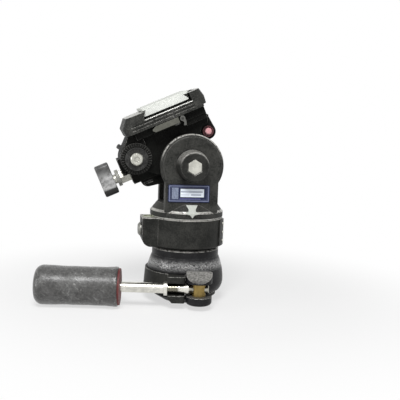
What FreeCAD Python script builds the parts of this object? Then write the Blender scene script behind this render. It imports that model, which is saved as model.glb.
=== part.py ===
import FreeCAD, Part
import math
import os
import re

import Sketcher

# A pan and tilt head with its handle. Millimetres, +Z up, origin on the pan axis at the seat of the foot.
# The lens side is +X, the tilt axis lies along Y, and -Y is the side with the badge.
# Three frames carry the pieces: "head" is the part's own frame, "lower" turns with the handle clamp
# about the pan axis, and "tilt" has its origin on the tilt axis, with x along the platform.

SIZES = [
    # pose at rest, and the fits shared by many pieces
    ("tilt_axis_z", 108.5), ("tilt_rest", 24), ("base_turn", -9), ("run_fit", 0.1), ("face_gap", 0.1),
    ("open_gap", 0.4),
    # foot, its brake drum and the pivot of the lower pan
    ("foot_r", 17.5), ("foot_rim_r", 25.5), ("foot_rim_z", 5), ("foot_top", 7.5), ("drum_seat_r", 20),
    ("drum_r", 24.5), ("drum_top", 25), ("tripod_thread_r", 4.7625), ("bush_r", 8), ("bush_len", 12),
    ("pivot_r", 5), ("pivot_top", 37.6), ("thrust_in_r", 11), ("thrust_out_r", 19.5), ("thrust_t", 1.5),
    ("pivot_washer_r", 9.2), ("pivot_washer_t", 1.2), ("pivot_nut_t", 4.2), ("pivot_nut_af", 16),
    # bell housing
    ("skirt_in", 27.5), ("skirt_toe_r", 28.6), ("skirt_low", 9.5), ("bell_r", 31), ("bulge_z", 17),
    ("plate_t", 5), ("neck_r", 26.6), ("neck_low", 36.6), ("neck_top", 43), ("neck_in", 18),
    ("pivot_bush_r", 7.5), ("bolt_circle", 21), ("bolt_r", 1.8), ("bolt_head_r", 3.2), ("bolt_head_t", 3),
    ("bolt_len", 14), ("neck_chamfer", 1),
    # barrel of the handle clamp, the clamp band and its lug
    ("barrel_x", 11.5), ("barrel_r", 10), ("barrel_low", 4), ("barrel_high", 28.5), ("barrel_dome", 2.5),
    ("facet_drop", 7), ("slot_half", 5.2), ("brass_r", 5.3), ("brass_hold", 1.2), ("band_in", 25),
    ("band_out_low", 33), ("band_out_high", 31.8), ("band_low", 9.3), ("band_high", 25.4),
    ("lug_left", 12.5), ("lug_width", 13.1), ("lug_low", 5.2), ("lug_front_wall", 4.5),
    ("lug_chamfer", 3.5), ("lug_back", 26.2), ("lug_slot_half", 4.9), ("band_pin_r", 1.6),
    ("band_pin_circle", 28.2), ("band_pin_len", 18), ("band_tail", 30), ("lug_round", 1.5),
    # handle
    ("rod_y", 34.5), ("rod_z", 15.7), ("rod_r", 4), ("rod_tail", 104), ("handle_thread_r", 3.2),
    ("thread_end", 19), ("cone_r", 4.4), ("cone_end", 3.6), ("cone_len", 7), ("cone_flat", 2.5),
    ("flange_r", 5.6), ("flange_t", 2.7), ("grip_in", 49.8), ("grip_out", 112.8), ("grip_r", 14.2),
    ("grip_waist_r", 13.8), ("grip_lip_r", 14.7), ("grip_round", 5), ("core_r", 8), ("core_wall", 4),
    ("ring_t", 1.4), ("ring_r", 14),
    # collar and what it carries
    ("spigot_r", 24), ("collar_r", 29), ("collar_low", 44.4), ("collar_high", 67.5), ("collar_bore", 26),
    ("floor_top", 52), ("stem_r", 9.8), ("rim_chamfer", 1), ("block_left", 36.5), ("block_front", 16),
    ("block_back", 4.5), ("block_high", 67), ("block_round", 7), ("block_root", 20), ("level_x", 30.6),
    ("level_y", 5.8), ("level_r", 5.3), ("vial_r", 4.3), ("level_deep", 5), ("level_lip", 0.5),
    ("lock_z", 57), ("lock_r", 2.5), ("lock_head_r", 5.2), ("lock_head_t", 2.6), ("lock_len", 8.5),
    ("pad_end", 25.8), ("strip_t", 1.1), ("strip_low", 45.6), ("strip_high", 66), ("strip_half_angle", 12),
    ("strip_angle", -24), ("strip_screw_r", 1.5), ("strip_screw_t", 0.6), ("pan_washer_t", 0.6),
    ("pan_washer_in", 26.3), ("pan_washer_out", 28.4),
    # yoke
    ("pan_ring_t", 4.5), ("pan_drum_r", 25.6), ("pan_drum_in", 21), ("pan_web_t", 5), ("flare_low_r", 28.2),
    ("flare_high_r", 22.5), ("flare_top", 80), ("waist_half", 20.5), ("disc_r", 24.5), ("disc_bevel", 2.2),
    ("yoke_half", 23), ("fork_half", 15), ("fork_floor", 30), ("retainer_r", 14), ("retainer_t", 1.9),
    ("retainer_screw_r", 3), ("retainer_head_r", 5), ("retainer_head_t", 2.4), ("retainer_screw_len", 17),
    # tilt axle and its bosses
    ("axle_r", 3), ("boss_base_r", 12.5), ("boss_tip_r", 11.2), ("boss_len", 12), ("boss_seat", 2),
    ("boss_edge", 0.8), ("head_af", 10), ("head_t", 4), ("head_recess", 4.4), ("rear_boss_len", 4),
    ("axle_nut_t", 4.5), ("axle_tail", 1.5), ("tilt_drum_r", 13), ("washer_out", 20), ("washer_t", 1),
    # badge and index
    ("badge_left", 18.4), ("badge_right", 13.9), ("badge_gap", 0.6), ("badge_high", 94.2), ("badge_t", 0.8),
    ("badge_round", 1.2), ("index_half", 4.4), ("index_tip", 1.1), ("index_drop", 1.4), ("index_t", 1),
    # tilting body
    ("core_half", 13.8), ("hub_r", 21.5), ("top_low", 33.5), ("tray_low", 39), ("top_half", 20),
    ("pillar_half", 17), ("rosette_x", 37.2), ("rosette_z", 21.1), ("rosette_r", 12), ("arm_half", 9),
    ("arm_end", 45.5), ("lock_axis_z", 11), ("cotter_r", 4.9), ("cotter_start", 28), ("cotter_end", 2),
    ("ear_x", 22.8), ("ear_z", 18.8), ("ear_r", 6.2), ("ear_half", 10), ("button_r", 2.6), ("bezel_r", 4.3),
    ("bezel_t", 1.3), ("button_out", 3.4), ("button_len", 8.4), ("button_bore", 9),
    # rosettes and their screws
    ("rosette_t", 1.4), ("tooth_in", 8.9), ("tooth_out", 11.8), ("tooth_t", 0.8), ("tooth_w", 0.8),
    ("teeth", 36), ("rosette_bore", 3.2), ("clamp_ring_in", 3.3), ("clamp_ring_r", 8.7),
    ("clamp_ring_t", 3.2), ("clamp_screw_r", 3), ("clamp_head_r", 4.8), ("clamp_head_t", 2.6),
    ("clamp_screw_len", 14), ("wing_hub_r", 6), ("wing_hub_t", 9), ("wing_reach", 14.5), ("wing_t", 3),
    ("wing_angle", 130),
    # tray, its jaw, lever and catch
    ("tray_left", 38.6), ("tray_right", 28.8), ("tray_over", 5), ("tray_floor", 46.2), ("left_top_x", 33.2),
    ("left_wall", 20.6), ("left_top", 51.8), ("right_wall", 18), ("right_top", 52.7), ("right_step", 25.2),
    ("step_high", 40.5), ("tray_corner", 8), ("floor_bevel", 0.5), ("seat_in", 7), ("jaw_high", 51.8),
    ("jaw_fit", 0.4), ("jaw_half", 12), ("jaw_low", 44.4), ("jaw_right", 22), ("jaw_open", 2),
    ("rib_deep", 0.5), ("rib_gap", 1.2), ("rib_low", 41.2), ("rib_pitch", 2.4), ("tray_screw_x", 13),
    ("tray_screw_y", 12), ("lever_x", 1.2), ("lever_gap", 1.6), ("lever_half", 2), ("lever_left", 18.2),
    ("lever_right", 3.2), ("lever_low", 34.5), ("lever_high", 38.7), ("lever_tip", 1.6),
    ("lever_pin_r", 1.5), ("lever_pin_head_r", 2.4), ("lever_pin_head_t", 1), ("catch_x", 6.2),
    ("catch_z", 36.6), ("catch_r", 2), ("catch_tail", 5.4), ("catch_t", 2.4), ("catch_gap", 2.6),
    ("catch_pin_r", 0.8),
    # tilt lock knob
    ("knob_out", 69.5), ("knob_in", 58.5), ("lobe_reach", 9.4), ("lobe_r", 6.2), ("dent_r", 14),
    ("knob_edge", 1.2), ("knob_cap", 3), ("stem_lock_r", 3), ("shank_r", 3.7), ("knob_washer_r", 6.6),
    ("knob_washer_t", 2.6), ("nut_len", 8.2), ("nut_af", 10), ("sleeve_len", 7.5),
    # quick-release plate
    ("plate_left", 20), ("plate_right", 16.6), ("plate_low", 48), ("plate_toe", 0.8), ("plate_toe_in", 0.5),
    ("dovetail", 3), ("facing_low", 52.5), ("facing_right", 17.9), ("plate_high", 54.5),
    ("plate_half", 21.3), ("plate_corner", 2), ("camera_hole_r", 3.3), ("counterbore_r", 7),
    ("counterbore_deep", 3.2),
]
NAMES = {name for name, _ in SIZES}
TRAY_HALF = "(top_half+tray_over)"
LEVER_Y = "(top_half+lever_gap+lever_half)"
CATCH_FRONT = "(top_half+catch_gap+catch_t)"
PAN_RING_LOW = "(collar_high+pan_washer_t)"
PAN_RING_HIGH = "(collar_high+pan_washer_t+pan_ring_t)"
PLATE_SLANT = "dovetail/(facing_low-plate_low-plate_toe)"
WORD = re.compile(r"[A-Za-z_][A-Za-z_0-9]*")
PLANE_SIGN = {"XY": 1, "XZ": -1, "YZ": 1}

doc = FreeCAD.newDocument("pan_tilt_head")
sheet = doc.addObject("Spreadsheet::Sheet", "Sizes")
PIECES = []


def fill_sheet():
    for row, (name, size) in enumerate(SIZES, start=1):
        sheet.set(f"A{row}", name)
        sheet.set(f"B{row}", str(size))
        sheet.setAlias(f"B{row}", name)
    doc.recompute()


def sized(text):
    """The same expression with each named size read from the sheet."""
    return WORD.sub(lambda m: f"Sizes.{m.group(0)}" if m.group(0) in NAMES else m.group(0), str(text))


def number(text):
    return float(sheet.evalExpression(sized(text)))


def bind(thing, prop, text):
    thing.setExpression(prop, sized(text))


def piece(name, frame="head", at=("0", "0", "0")):
    """A new body for one node, placed in its frame at a point given as expressions."""
    body = doc.addObject("PartDesign::Body", name)
    body.Label = name
    x, y, z = (f"({part})" for part in at)
    axis, angle, base = (0, 0, 1), "0", (x, y, z)
    if frame == "lower":
        angle = "base_turn"
        base = (f"{x}*cos(base_turn)-{y}*sin(base_turn)", f"{x}*sin(base_turn)+{y}*cos(base_turn)", z)
    if frame == "tilt":
        axis, angle = (0, -1, 0), "tilt_rest"
        base = (f"{x}*cos(tilt_rest)-{z}*sin(tilt_rest)", y,
                f"tilt_axis_z+{x}*sin(tilt_rest)+{z}*cos(tilt_rest)")
    turned = FreeCAD.Rotation(FreeCAD.Vector(*axis), number(angle))
    body.Placement = FreeCAD.Placement(FreeCAD.Vector(*map(number, base)), turned)
    if frame != "head":
        bind(body, "Placement.Rotation.Angle", angle)
    for side, text in zip("xyz", base):
        bind(body, f"Placement.Base.{side}", text)
    PIECES.append(body)
    return body


def hexagon(across, x="0", y="0", turn=0):
    """Six corners of a hexagon with the given width across its flats."""
    corner = f"({across})/2/cos(30)"
    return [(f"({x})+{corner}*cos({a + turn})", f"({y})+{corner}*sin({a + turn})") for a in range(0, 360, 60)]


def box(left, right, low, high):
    return [(left, low), (right, low), (right, high), (left, high)]


def circle(x, y, r):
    return ("circle", x, y, r)


def pin_point(sketch, geo, end, x, y):
    for kind, text in (("DistanceX", x), ("DistanceY", y)):
        index = sketch.addConstraint(Sketcher.Constraint(kind, -1, 1, geo, end, number(text)))
        bind(sketch, f"Constraints[{index}]", text)


def draw_circle(sketch, x, y, r):
    middle = FreeCAD.Vector(number(x), number(y), 0)
    geo = sketch.addGeometry(Part.Circle(middle, FreeCAD.Vector(0, 0, 1), number(r)))
    pin_point(sketch, geo, 3, x, y)
    index = sketch.addConstraint(Sketcher.Constraint("Radius", geo, number(r)))
    bind(sketch, f"Constraints[{index}]", r)


def arc_edge(start, end, turn, side, centre):
    """An arc between two points whose centre has the given x or y."""
    mid = (start + end) * 0.5
    run = end - start
    if side == "x":
        middle = FreeCAD.Vector(centre, mid.y - (centre - mid.x) * run.x / run.y, 0)
    else:
        middle = FreeCAD.Vector(mid.x - (centre - mid.y) * run.y / run.x, centre, 0)
    ring = Part.Circle(middle, FreeCAD.Vector(0, 0, 1), (start - middle).Length)
    first, last = (ring.parameter(p) for p in ((start, end) if turn == "left" else (end, start)))
    if last <= first:
        last += 2 * math.pi
    return Part.ArcOfCircle(ring, first, last)


def draw_outline(sketch, outline):
    """A closed outline. A point (x, y) ends a line; (x, y, turn, side, centre) ends an arc."""
    spots = [FreeCAD.Vector(number(p[0]), number(p[1]), 0) for p in outline]
    ends = []
    for k, point in enumerate(outline):
        start, end = spots[k - 1], spots[k]
        if len(point) == 2:
            ends.append((sketch.addGeometry(Part.LineSegment(start, end)), 1, 2))
            continue
        geo = sketch.addGeometry(arc_edge(start, end, point[2], point[3], number(point[4])))
        ends.append((geo, 1, 2) if point[2] == "left" else (geo, 2, 1))
        kind = "DistanceX" if point[3] == "x" else "DistanceY"
        index = sketch.addConstraint(Sketcher.Constraint(kind, -1, 1, geo, 3, number(point[4])))
        bind(sketch, f"Constraints[{index}]", point[4])
    for k, point in enumerate(outline):
        (geo, _, end), (after, start, _) = ends[k], ends[(k + 1) % len(ends)]
        sketch.addConstraint(Sketcher.Constraint("Coincident", geo, end, after, start))
        pin_point(sketch, geo, end, point[0], point[1])


def sketch_on(body, plane, offset, *outlines):
    sketch = body.newObject("Sketcher::SketchObject", f"{body.Name}_sketch")
    support = next(f for f in body.Origin.OriginFeatures if f.Role == f"{plane}_Plane")
    sketch.AttachmentSupport = [(support, "")]
    sketch.MapMode = "FlatFace"
    sketch.AttachmentOffset = FreeCAD.Placement(FreeCAD.Vector(0, 0, number(offset)), FreeCAD.Rotation())
    bind(sketch, "AttachmentOffset.Base.z", offset)
    for outline in outlines:
        if outline[0] == "circle":
            draw_circle(sketch, *outline[1:])
        else:
            draw_outline(sketch, outline)
    return sketch


def pad(body, plane, low, high, *outlines):
    """Adds outlines as a prism from low to high along the plane's axis."""
    offset = low if PLANE_SIGN[plane] > 0 else f"-({high})"
    feature = body.newObject("PartDesign::Pad", f"{body.Name}_pad")
    feature.Profile = sketch_on(body, plane, offset, *outlines)
    bind(feature, "Length", f"({high})-({low})")
    return feature


def cut(body, plane, low, high, *outlines):
    """Cuts outlines as a prism from low to high along the plane's axis."""
    offset = high if PLANE_SIGN[plane] > 0 else f"-({low})"
    feature = body.newObject("PartDesign::Pocket", f"{body.Name}_cut")
    feature.Profile = sketch_on(body, plane, offset, *outlines)
    bind(feature, "Length", f"({high})-({low})")
    return feature


def spin(body, along, outline, kind="Revolution"):
    """A full turn about the body's own X, Y or Z. Points are (along, radius), or (radius, z) for Z."""
    plane = {"X": "XZ", "Y": "YZ", "Z": "XZ"}[along]
    sketch = sketch_on(body, plane, "0", outline)
    feature = body.newObject(f"PartDesign::{kind}", f"{body.Name}_turn")
    feature.Profile = sketch
    feature.ReferenceAxis = (sketch, ["V_Axis" if along == "Z" else "H_Axis"])
    feature.Angle = 360
    return feature


def soften(body, kind, size, pick):
    """Rounds or chamfers the edges that the pick function chooses."""
    doc.recompute()
    base = body.Tip
    edges = [f"Edge{k}" for k, e in enumerate(base.Shape.Edges, start=1) if pick(e)]
    feature = body.newObject(f"PartDesign::{kind}", f"{body.Name}_{kind.lower()}")
    feature.Base = (base, edges)
    bind(feature, "Radius" if kind == "Fillet" else "Size", size)
    return feature


def repeat(body, feature, axis_role, count):
    """Copies a feature around the body's own axis."""
    doc.recompute()
    pattern = body.newObject("PartDesign::PolarPattern", f"{body.Name}_ring")
    pattern.Originals = [feature]
    pattern.Axis = (next(f for f in body.Origin.OriginFeatures if f.Role == axis_role), [""])
    pattern.Angle = 360
    bind(pattern, "Occurrences", count)
    body.Tip = pattern
    return pattern


def tube(name, frame, at, along, inner, outer, low, high):
    """A plain ring or sleeve along one axis."""
    body = piece(name, frame, at)
    if along == "Z":
        spin(body, "Z", box(inner, outer, low, high))
    else:
        spin(body, along, box(low, high, inner, outer))
    return body


def is_upright(edge):
    flat = edge.Curve.TypeId == "Part::GeomLine"
    return flat and abs(edge.tangentAt(edge.FirstParameter).z) > 0.999


# ---------------------------------------------------------------- foot and lower pan pivot


def foot_disc():
    body = piece("foot_disc")
    spin(body, "Z", [("bush_r", "0"), ("foot_r", "0"), ("foot_rim_r", "foot_rim_z"),
                     ("foot_rim_r", "foot_top"), ("drum_seat_r", "foot_top"),
                     ("drum_seat_r", "drum_top"), ("pivot_r", "drum_top"),
                     ("pivot_r", "bush_len"), ("bush_r", "bush_len")])


def pivot():
    tube("brake_drum", "head", ("0", "0", "0"), "Z", "drum_seat_r", "drum_r", "foot_top", "drum_top")
    tube("tripod_bush", "head", ("0", "0", "0"), "Z", "tripod_thread_r", "bush_r", "0", "bush_len")
    stud = piece("pivot_stud")
    spin(stud, "Z", [("0", "bush_len"), ("pivot_r", "bush_len"), ("pivot_r", "pivot_top-0.15*pivot_r"),
                     ("0.85*pivot_r", "pivot_top"), ("0", "pivot_top")])
    top = "drum_top+thrust_t+plate_t"
    tube("pivot_washer", "head", ("0", "0", top), "Z", "pivot_r", "pivot_washer_r", "face_gap",
         "pivot_washer_t")
    nut = piece("pivot_nut", "head", ("0", "0", f"{top}+pivot_washer_t"))
    pad(nut, "XY", "0", "pivot_nut_t", hexagon("pivot_nut_af"), circle("0", "0", "pivot_r"))
    tube("thrust_washer", "head", ("0", "0", "drum_top"), "Z", "thrust_in_r", "thrust_out_r", "0", "thrust_t")
    tube("pivot_bush", "head", ("0", "0", "drum_top+thrust_t"), "Z", "pivot_r+run_fit", "pivot_bush_r",
         "0", "plate_t")


# ---------------------------------------------------------------- bell housing and handle clamp


def bolt_ring(r, turn="0"):
    """Three circles on the bolt circle, for the bolts that hold the collar on the neck."""
    angles = [f"({a}-({turn}))" for a in (90, 210, 330)]
    return [circle(f"bolt_circle*cos({a})", f"bolt_circle*sin({a})", r) for a in angles]


def bell_housing():
    body = piece("bell_housing", "lower")
    low, top = "(drum_top+thrust_t)", "(drum_top+thrust_t+plate_t)"
    spin(body, "Z", [("skirt_in", "skirt_low"), ("skirt_toe_r", "skirt_low"),
                     ("bell_r", "bulge_z", "left", "y", "bulge_z"),
                     ("neck_r", "neck_low", "left", "y", "bulge_z"),
                     ("neck_r", "neck_top-neck_chamfer"), ("neck_r-neck_chamfer", "neck_top"),
                     ("neck_in", "neck_top"), ("neck_in", top), ("pivot_bush_r", top),
                     ("pivot_bush_r", low), ("skirt_in", low)])
    pad(body, "XY", "barrel_low", "barrel_high", circle("barrel_x", "-rod_y", "barrel_r"))
    soften(body, "Fillet", "barrel_dome", lambda e: abs(e.BoundBox.ZMax - number("barrel_low")) < 0.01)
    cut(body, "XY", "barrel_low-1", low, circle("0", "0", "skirt_in"))
    front = "-rod_y-barrel_r-1"
    cut(body, "YZ", "barrel_x-barrel_r-1", "barrel_x+barrel_r+1",
        [("-bell_r", "barrel_high+1"), (front, "barrel_high-facet_drop"), (front, "barrel_high+1")])
    cut(body, "YZ", "barrel_x-barrel_r-1", "barrel_x+barrel_r+1",
        box(front, "-rod_y+brass_r+brass_hold", "rod_z-slot_half", "rod_z+slot_half"))
    far, edge = "2*bell_r", "lug_width-lug_left+0.7"
    cut(body, "XY", "skirt_low-1", "band_high+open_gap",
        [("0", "0"), (edge, "0"), (edge, f"-{far}"), (f"-{far}", f"-{far}"),
         (f"-{far}", f"{far}*tan(band_tail)")])
    cut(body, "XY", "neck_top+bolt_head_t-bolt_len", "neck_top+1", *bolt_ring("bolt_r", "base_turn"))
    cut(body, "XY", "band_high", "band_low+band_pin_len",
        circle("-band_pin_circle*cos(band_tail-6)", "band_pin_circle*sin(band_tail-6)", "band_pin_r"))


def clamp_band():
    body = piece("clamp_band", "lower")
    spin(body, "Z", [("band_in", "band_low"), ("band_out_low", "band_low"), ("band_out_high", "band_high"),
                     ("band_in", "band_high")])
    far = "2*bell_r"
    cut(body, "XY", "band_low-1", "band_high+1",
        [("0", "0"), (f"-{far}", f"{far}*tan(band_tail-1)"), (f"-{far}", far), (far, far), (far, f"-{far}"),
         ("-lug_left/2", f"-{far}"), ("-lug_left/2", "0")])
    right = "(lug_width-lug_left)"
    pad(body, "XZ", "-rod_y-lug_front_wall", "-lug_back",
        [("-lug_left+lug_chamfer", "lug_low"), (right, "lug_low"), (right, "band_high"),
         ("-lug_left", "band_high"), ("-lug_left", "lug_low+lug_chamfer")])
    soften(body, "Fillet", "lug_round",
           lambda e: is_upright(e) and e.BoundBox.YMax < -number("rod_y+lug_front_wall") + 0.01)
    cut(body, "YZ", "-lug_left-1", f"{right}+1",
        box("-rod_y-lug_front_wall-1", "-rod_y+rod_r+open_gap", "rod_z-lug_slot_half", "rod_z+lug_slot_half"))
    cut(body, "YZ", "-lug_left-flange_t-2", "-lug_left", circle("-rod_y", "rod_z", "flange_r+open_gap"))
    cut(body, "XY", "band_low", "band_high+1",
        circle("-band_pin_circle*cos(band_tail-6)", "band_pin_circle*sin(band_tail-6)", "band_pin_r"))


def clamp_fittings():
    pin = piece("band_pin", "lower")
    pad(pin, "XY", "band_low", "band_low+band_pin_len",
        circle("-band_pin_circle*cos(band_tail-6)", "band_pin_circle*sin(band_tail-6)", "band_pin_r"))
    nut = piece("brass_nut", "lower", ("barrel_x", "-rod_y", "rod_z"))
    pad(nut, "XY", "-slot_half", "slot_half", circle("0", "0", "brass_r"))
    cut(nut, "YZ", "-brass_r-1", "brass_r+1", circle("0", "0", "handle_thread_r+run_fit"))


# ---------------------------------------------------------------- handle


def handle():
    seat = ("0", "-rod_y", "rod_z")
    rod = piece("handle_rod", "lower", seat)
    shoulder = "-lug_left-face_gap"
    spin(rod, "X", [("-rod_tail", "0"), (shoulder, "0"), ("thread_end", "0"),
                    ("thread_end", "handle_thread_r-0.6"), ("thread_end-0.6", "handle_thread_r"),
                    ("cone_end+cone_flat", "handle_thread_r"), ("cone_end", "cone_r"),
                    ("cone_end-cone_len", "handle_thread_r"), (shoulder, "handle_thread_r"),
                    (shoulder, "rod_r"), ("-rod_tail", "rod_r")])
    tube("handle_flange", "lower", seat, "X", "rod_r", "flange_r", f"{shoulder}-flange_t", shoulder)
    core = piece("grip_core", "lower", seat)
    spin(core, "X", [("-rod_tail-core_wall", "0"), ("-rod_tail", "0"), ("-rod_tail", "rod_r"),
                     ("-grip_in", "rod_r"), ("-grip_in", "core_r"), ("-rod_tail-core_wall", "core_r")])
    grip = piece("handle_grip", "lower", seat)
    spin(grip, "X", [("-grip_out", "0"), ("-rod_tail-core_wall", "0"), ("-rod_tail-core_wall", "core_r"),
                     ("-grip_in", "core_r"), ("-grip_in", "grip_r"), ("-grip_in-1.2", "grip_lip_r"),
                     ("-grip_in-3", "grip_lip_r"), ("-grip_in-9", "grip_waist_r"),
                     ("-grip_out+grip_round+12", "grip_waist_r"), ("-grip_out+grip_round", "grip_r"),
                     ("-grip_out", "grip_r-grip_round", "left", "x", "-grip_out+grip_round")])
    tube("grip_ring", "lower", seat, "X", "rod_r", "ring_r", "-grip_in", "-grip_in+ring_t")


# ---------------------------------------------------------------- collar of the head


def collar():
    body = piece("collar")
    bore = "stem_r+run_fit"
    spin(body, "Z", [(bore, "neck_top"), ("spigot_r", "neck_top"), ("spigot_r", "collar_low"),
                     ("collar_r-rim_chamfer", "collar_low"), ("collar_r", "collar_low+rim_chamfer"),
                     ("collar_r", "collar_high-rim_chamfer"), ("collar_r-rim_chamfer", "collar_high"),
                     ("collar_bore", "collar_high"), ("collar_bore", "floor_top"), (bore, "floor_top")])
    pad(body, "XZ", "-block_front", "block_back",
        [("-block_left+block_round", "collar_low", "left", "x", "-block_left+block_round"),
         ("-block_root", "collar_low"), ("-block_root", "block_high"), ("-block_left", "block_high"),
         ("-block_left", "collar_low+block_round")])
    cut(body, "XY", "floor_top", "collar_high+1", circle("0", "0", "collar_bore"))
    cut(body, "XY", "block_high-level_deep", "block_high+1", circle("-level_x", "-level_y", "level_r"))
    cut(body, "YZ", "-block_left-1", "-block_root", circle("-level_y", "lock_z", "lock_r+run_fit"))
    cut(body, "XY", "neck_top-1", "floor_top+1", *bolt_ring("bolt_r"))
    cut(body, "XY", "neck_top+bolt_head_t", "floor_top+1", *bolt_ring("bolt_head_r+run_fit"))


def collar_fittings():
    bolts = piece("collar_bolts")
    head_low = "neck_top+bolt_head_t"
    pad(bolts, "XY", f"{head_low}-bolt_len", f"{head_low}+bolt_head_t", *bolt_ring("bolt_r"))
    pad(bolts, "XY", head_low, f"{head_low}+bolt_head_t", *bolt_ring("bolt_head_r"))
    level = ("-level_x", "-level_y", "block_high")
    tube("level_ring", "head", level, "Z", "vial_r", "level_r", "-level_deep", "level_lip")
    vial = piece("level_vial", "head", level)
    spin(vial, "Z", [("0", "-level_deep"), ("vial_r", "-level_deep"), ("vial_r", "-level_lip"),
                     ("0", "0", "left", "x", "0")])
    screw = piece("pan_lock_screw", "head", ("-block_left", "-level_y", "lock_z"))
    spin(screw, "X", [("-lock_head_t", "0"), ("lock_len", "0"), ("lock_len", "lock_r"),
                      ("-face_gap", "lock_r"), ("-face_gap", "lock_head_r"),
                      ("-lock_head_t/2", "lock_head_r"), ("-lock_head_t", "0.7*lock_head_r")])
    shoe = piece("pan_brake_pad", "head", ("0", "-level_y", "lock_z"))
    pad(shoe, "YZ", "-block_left+lock_len+face_gap", "-pad_end", circle("0", "0", "lock_r"))
    strip = piece("collar_strip")
    turn_to(strip, "strip_angle")
    spin(strip, "Z", box("collar_r", "collar_r+strip_t", "strip_low", "strip_high"))
    far = "2*collar_r"
    rise = f"{far}*tan(strip_half_angle)"
    cut(strip, "XY", "strip_low-1", "strip_high+1",
        [("0", "0"), (far, rise), (far, far), (f"-{far}", far), (f"-{far}", f"-{far}"), (far, f"-{far}"),
         (far, f"-{rise}")])
    screws = piece("strip_screws")
    turn_to(screws, "strip_angle")
    third = "(strip_high-strip_low)/3"
    pad(screws, "YZ", "collar_r+strip_t", "collar_r+strip_t+strip_screw_t",
        *[circle("0", f"strip_low+{third}*{k}", "strip_screw_r") for k in (0.5, 1.5, 2.5)])
    tube("pan_washer", "head", ("0", "0", "collar_high"), "Z", "pan_washer_in", "pan_washer_out",
         "0", "pan_washer_t")


def turn_to(body, angle):
    """Turns a piece of the head frame about the pan axis."""
    bind(body, "Placement.Rotation.Angle", angle)


# ---------------------------------------------------------------- yoke


def yoke():
    body = piece("yoke")
    ring_low, ring_high = PAN_RING_LOW, PAN_RING_HIGH
    web = f"({ring_low}-pan_web_t)"
    spin(body, "Z", [("0", "neck_top-face_gap"), ("stem_r", "neck_top-face_gap"), ("stem_r", web),
                     ("pan_drum_in", web), ("pan_drum_in", "floor_top+open_gap"),
                     ("pan_drum_r", "floor_top+open_gap"), ("pan_drum_r", ring_low),
                     ("collar_r", ring_low), ("collar_r", f"{ring_high}-0.6"),
                     ("collar_r-0.6", ring_high), ("flare_low_r", ring_high),
                     ("flare_high_r", "flare_top"), ("0", "flare_top")])
    pad(body, "XZ", "-yoke_half", "yoke_half", box("-waist_half", "waist_half", ring_high, "tilt_axis_z"))
    pad(body, "XZ", "-yoke_half", "yoke_half", circle("0", "tilt_axis_z", "disc_r"))
    half = number("yoke_half")
    soften(body, "Chamfer", "disc_bevel",
           lambda e: e.Curve.TypeId == "Part::GeomCircle" and abs(abs(e.BoundBox.YMin) - half) < 0.01
           and e.BoundBox.YLength < 0.01 and e.BoundBox.ZMax > number("tilt_axis_z"))
    cut(body, "YZ", "-disc_r-1", "disc_r+1",
        box("-fork_half", "fork_half", "tilt_axis_z-fork_floor", "tilt_axis_z+disc_r+1"))
    cut(body, "XZ", "-yoke_half-1", "yoke_half+1", circle("0", "tilt_axis_z", "axle_r+run_fit"))
    cut(body, "XZ", "-yoke_half-1", "-yoke_half+boss_seat", circle("0", "tilt_axis_z", "boss_base_r+run_fit"))
    cut(body, "XZ", "yoke_half-boss_seat", "yoke_half+1", circle("0", "tilt_axis_z", "boss_base_r+run_fit"))
    cut(body, "XY", "neck_top-1", "neck_top+retainer_screw_len", circle("0", "0", "retainer_screw_r"))


def yoke_fittings():
    low = "neck_top-face_gap-retainer_t"
    tube("pan_retainer", "head", ("0", "0", low), "Z", "retainer_screw_r", "retainer_r", "0", "retainer_t")
    screw = piece("pan_retaining_screw", "head", ("0", "0", low))
    tip = "retainer_t+retainer_screw_len"
    spin(screw, "Z", [("0", "-retainer_head_t"), ("retainer_head_r", "-retainer_head_t"),
                      ("retainer_head_r", "0"), ("retainer_screw_r", "0"), ("retainer_screw_r", tip),
                      ("0", tip)])
    cut(screw, "XY", "-retainer_head_t-1", "-retainer_head_t/3", hexagon("retainer_head_r"))
    badge = piece("badge")
    pad(badge, "XZ", "-yoke_half-badge_t", "-yoke_half",
        box("-badge_left", "badge_right", "flare_top+badge_gap", "badge_high"))
    soften(badge, "Fillet", "badge_round", lambda e: abs(e.BoundBox.YLength - number("badge_t")) < 0.01)
    index_pointer()


def index_pointer():
    """An arrow with a waist and two ears, standing a little proud of the yoke's flare above its ring."""
    index = piece("index_pointer")
    low, high = f"({PAN_RING_LOW}+index_tip)", "(flare_top-index_drop)"
    side = [(1, 1), (0.62, 0.68), (0.62, 0.52), (1.07, 0.44), (1.07, 0.32), (0.42, 0.26)]
    arrow = [(f"{x}*index_half", f"{low}+{z}*({high}-{low})") for x, z in side]
    arrow += [("0", low)] + [(f"-{x}", z) for x, z in reversed(arrow)]
    pad(index, "XZ", "-collar_r-index_t", "-yoke_half", arrow)
    under, over, far = f"{low}-1", "flare_top+1", "2*collar_r"
    spin(index, "Z", [("0", under), ("collar_r", under), ("collar_r", f"{PAN_RING_HIGH}-0.6"),
                      ("collar_r-0.6", PAN_RING_HIGH), ("flare_low_r", PAN_RING_HIGH),
                      ("flare_high_r", "flare_top"), ("0", "flare_top")], "Groove")
    slope = "(flare_low_r-flare_high_r)/(flare_top-pan_ring_t-pan_washer_t-collar_high)"
    spin(index, "Z", [("collar_r+index_t", PAN_RING_HIGH), (far, PAN_RING_HIGH), (far, over),
                      (f"flare_high_r+2*index_t-{slope}", over), ("flare_high_r+2*index_t", "flare_top")],
         "Groove")


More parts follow.
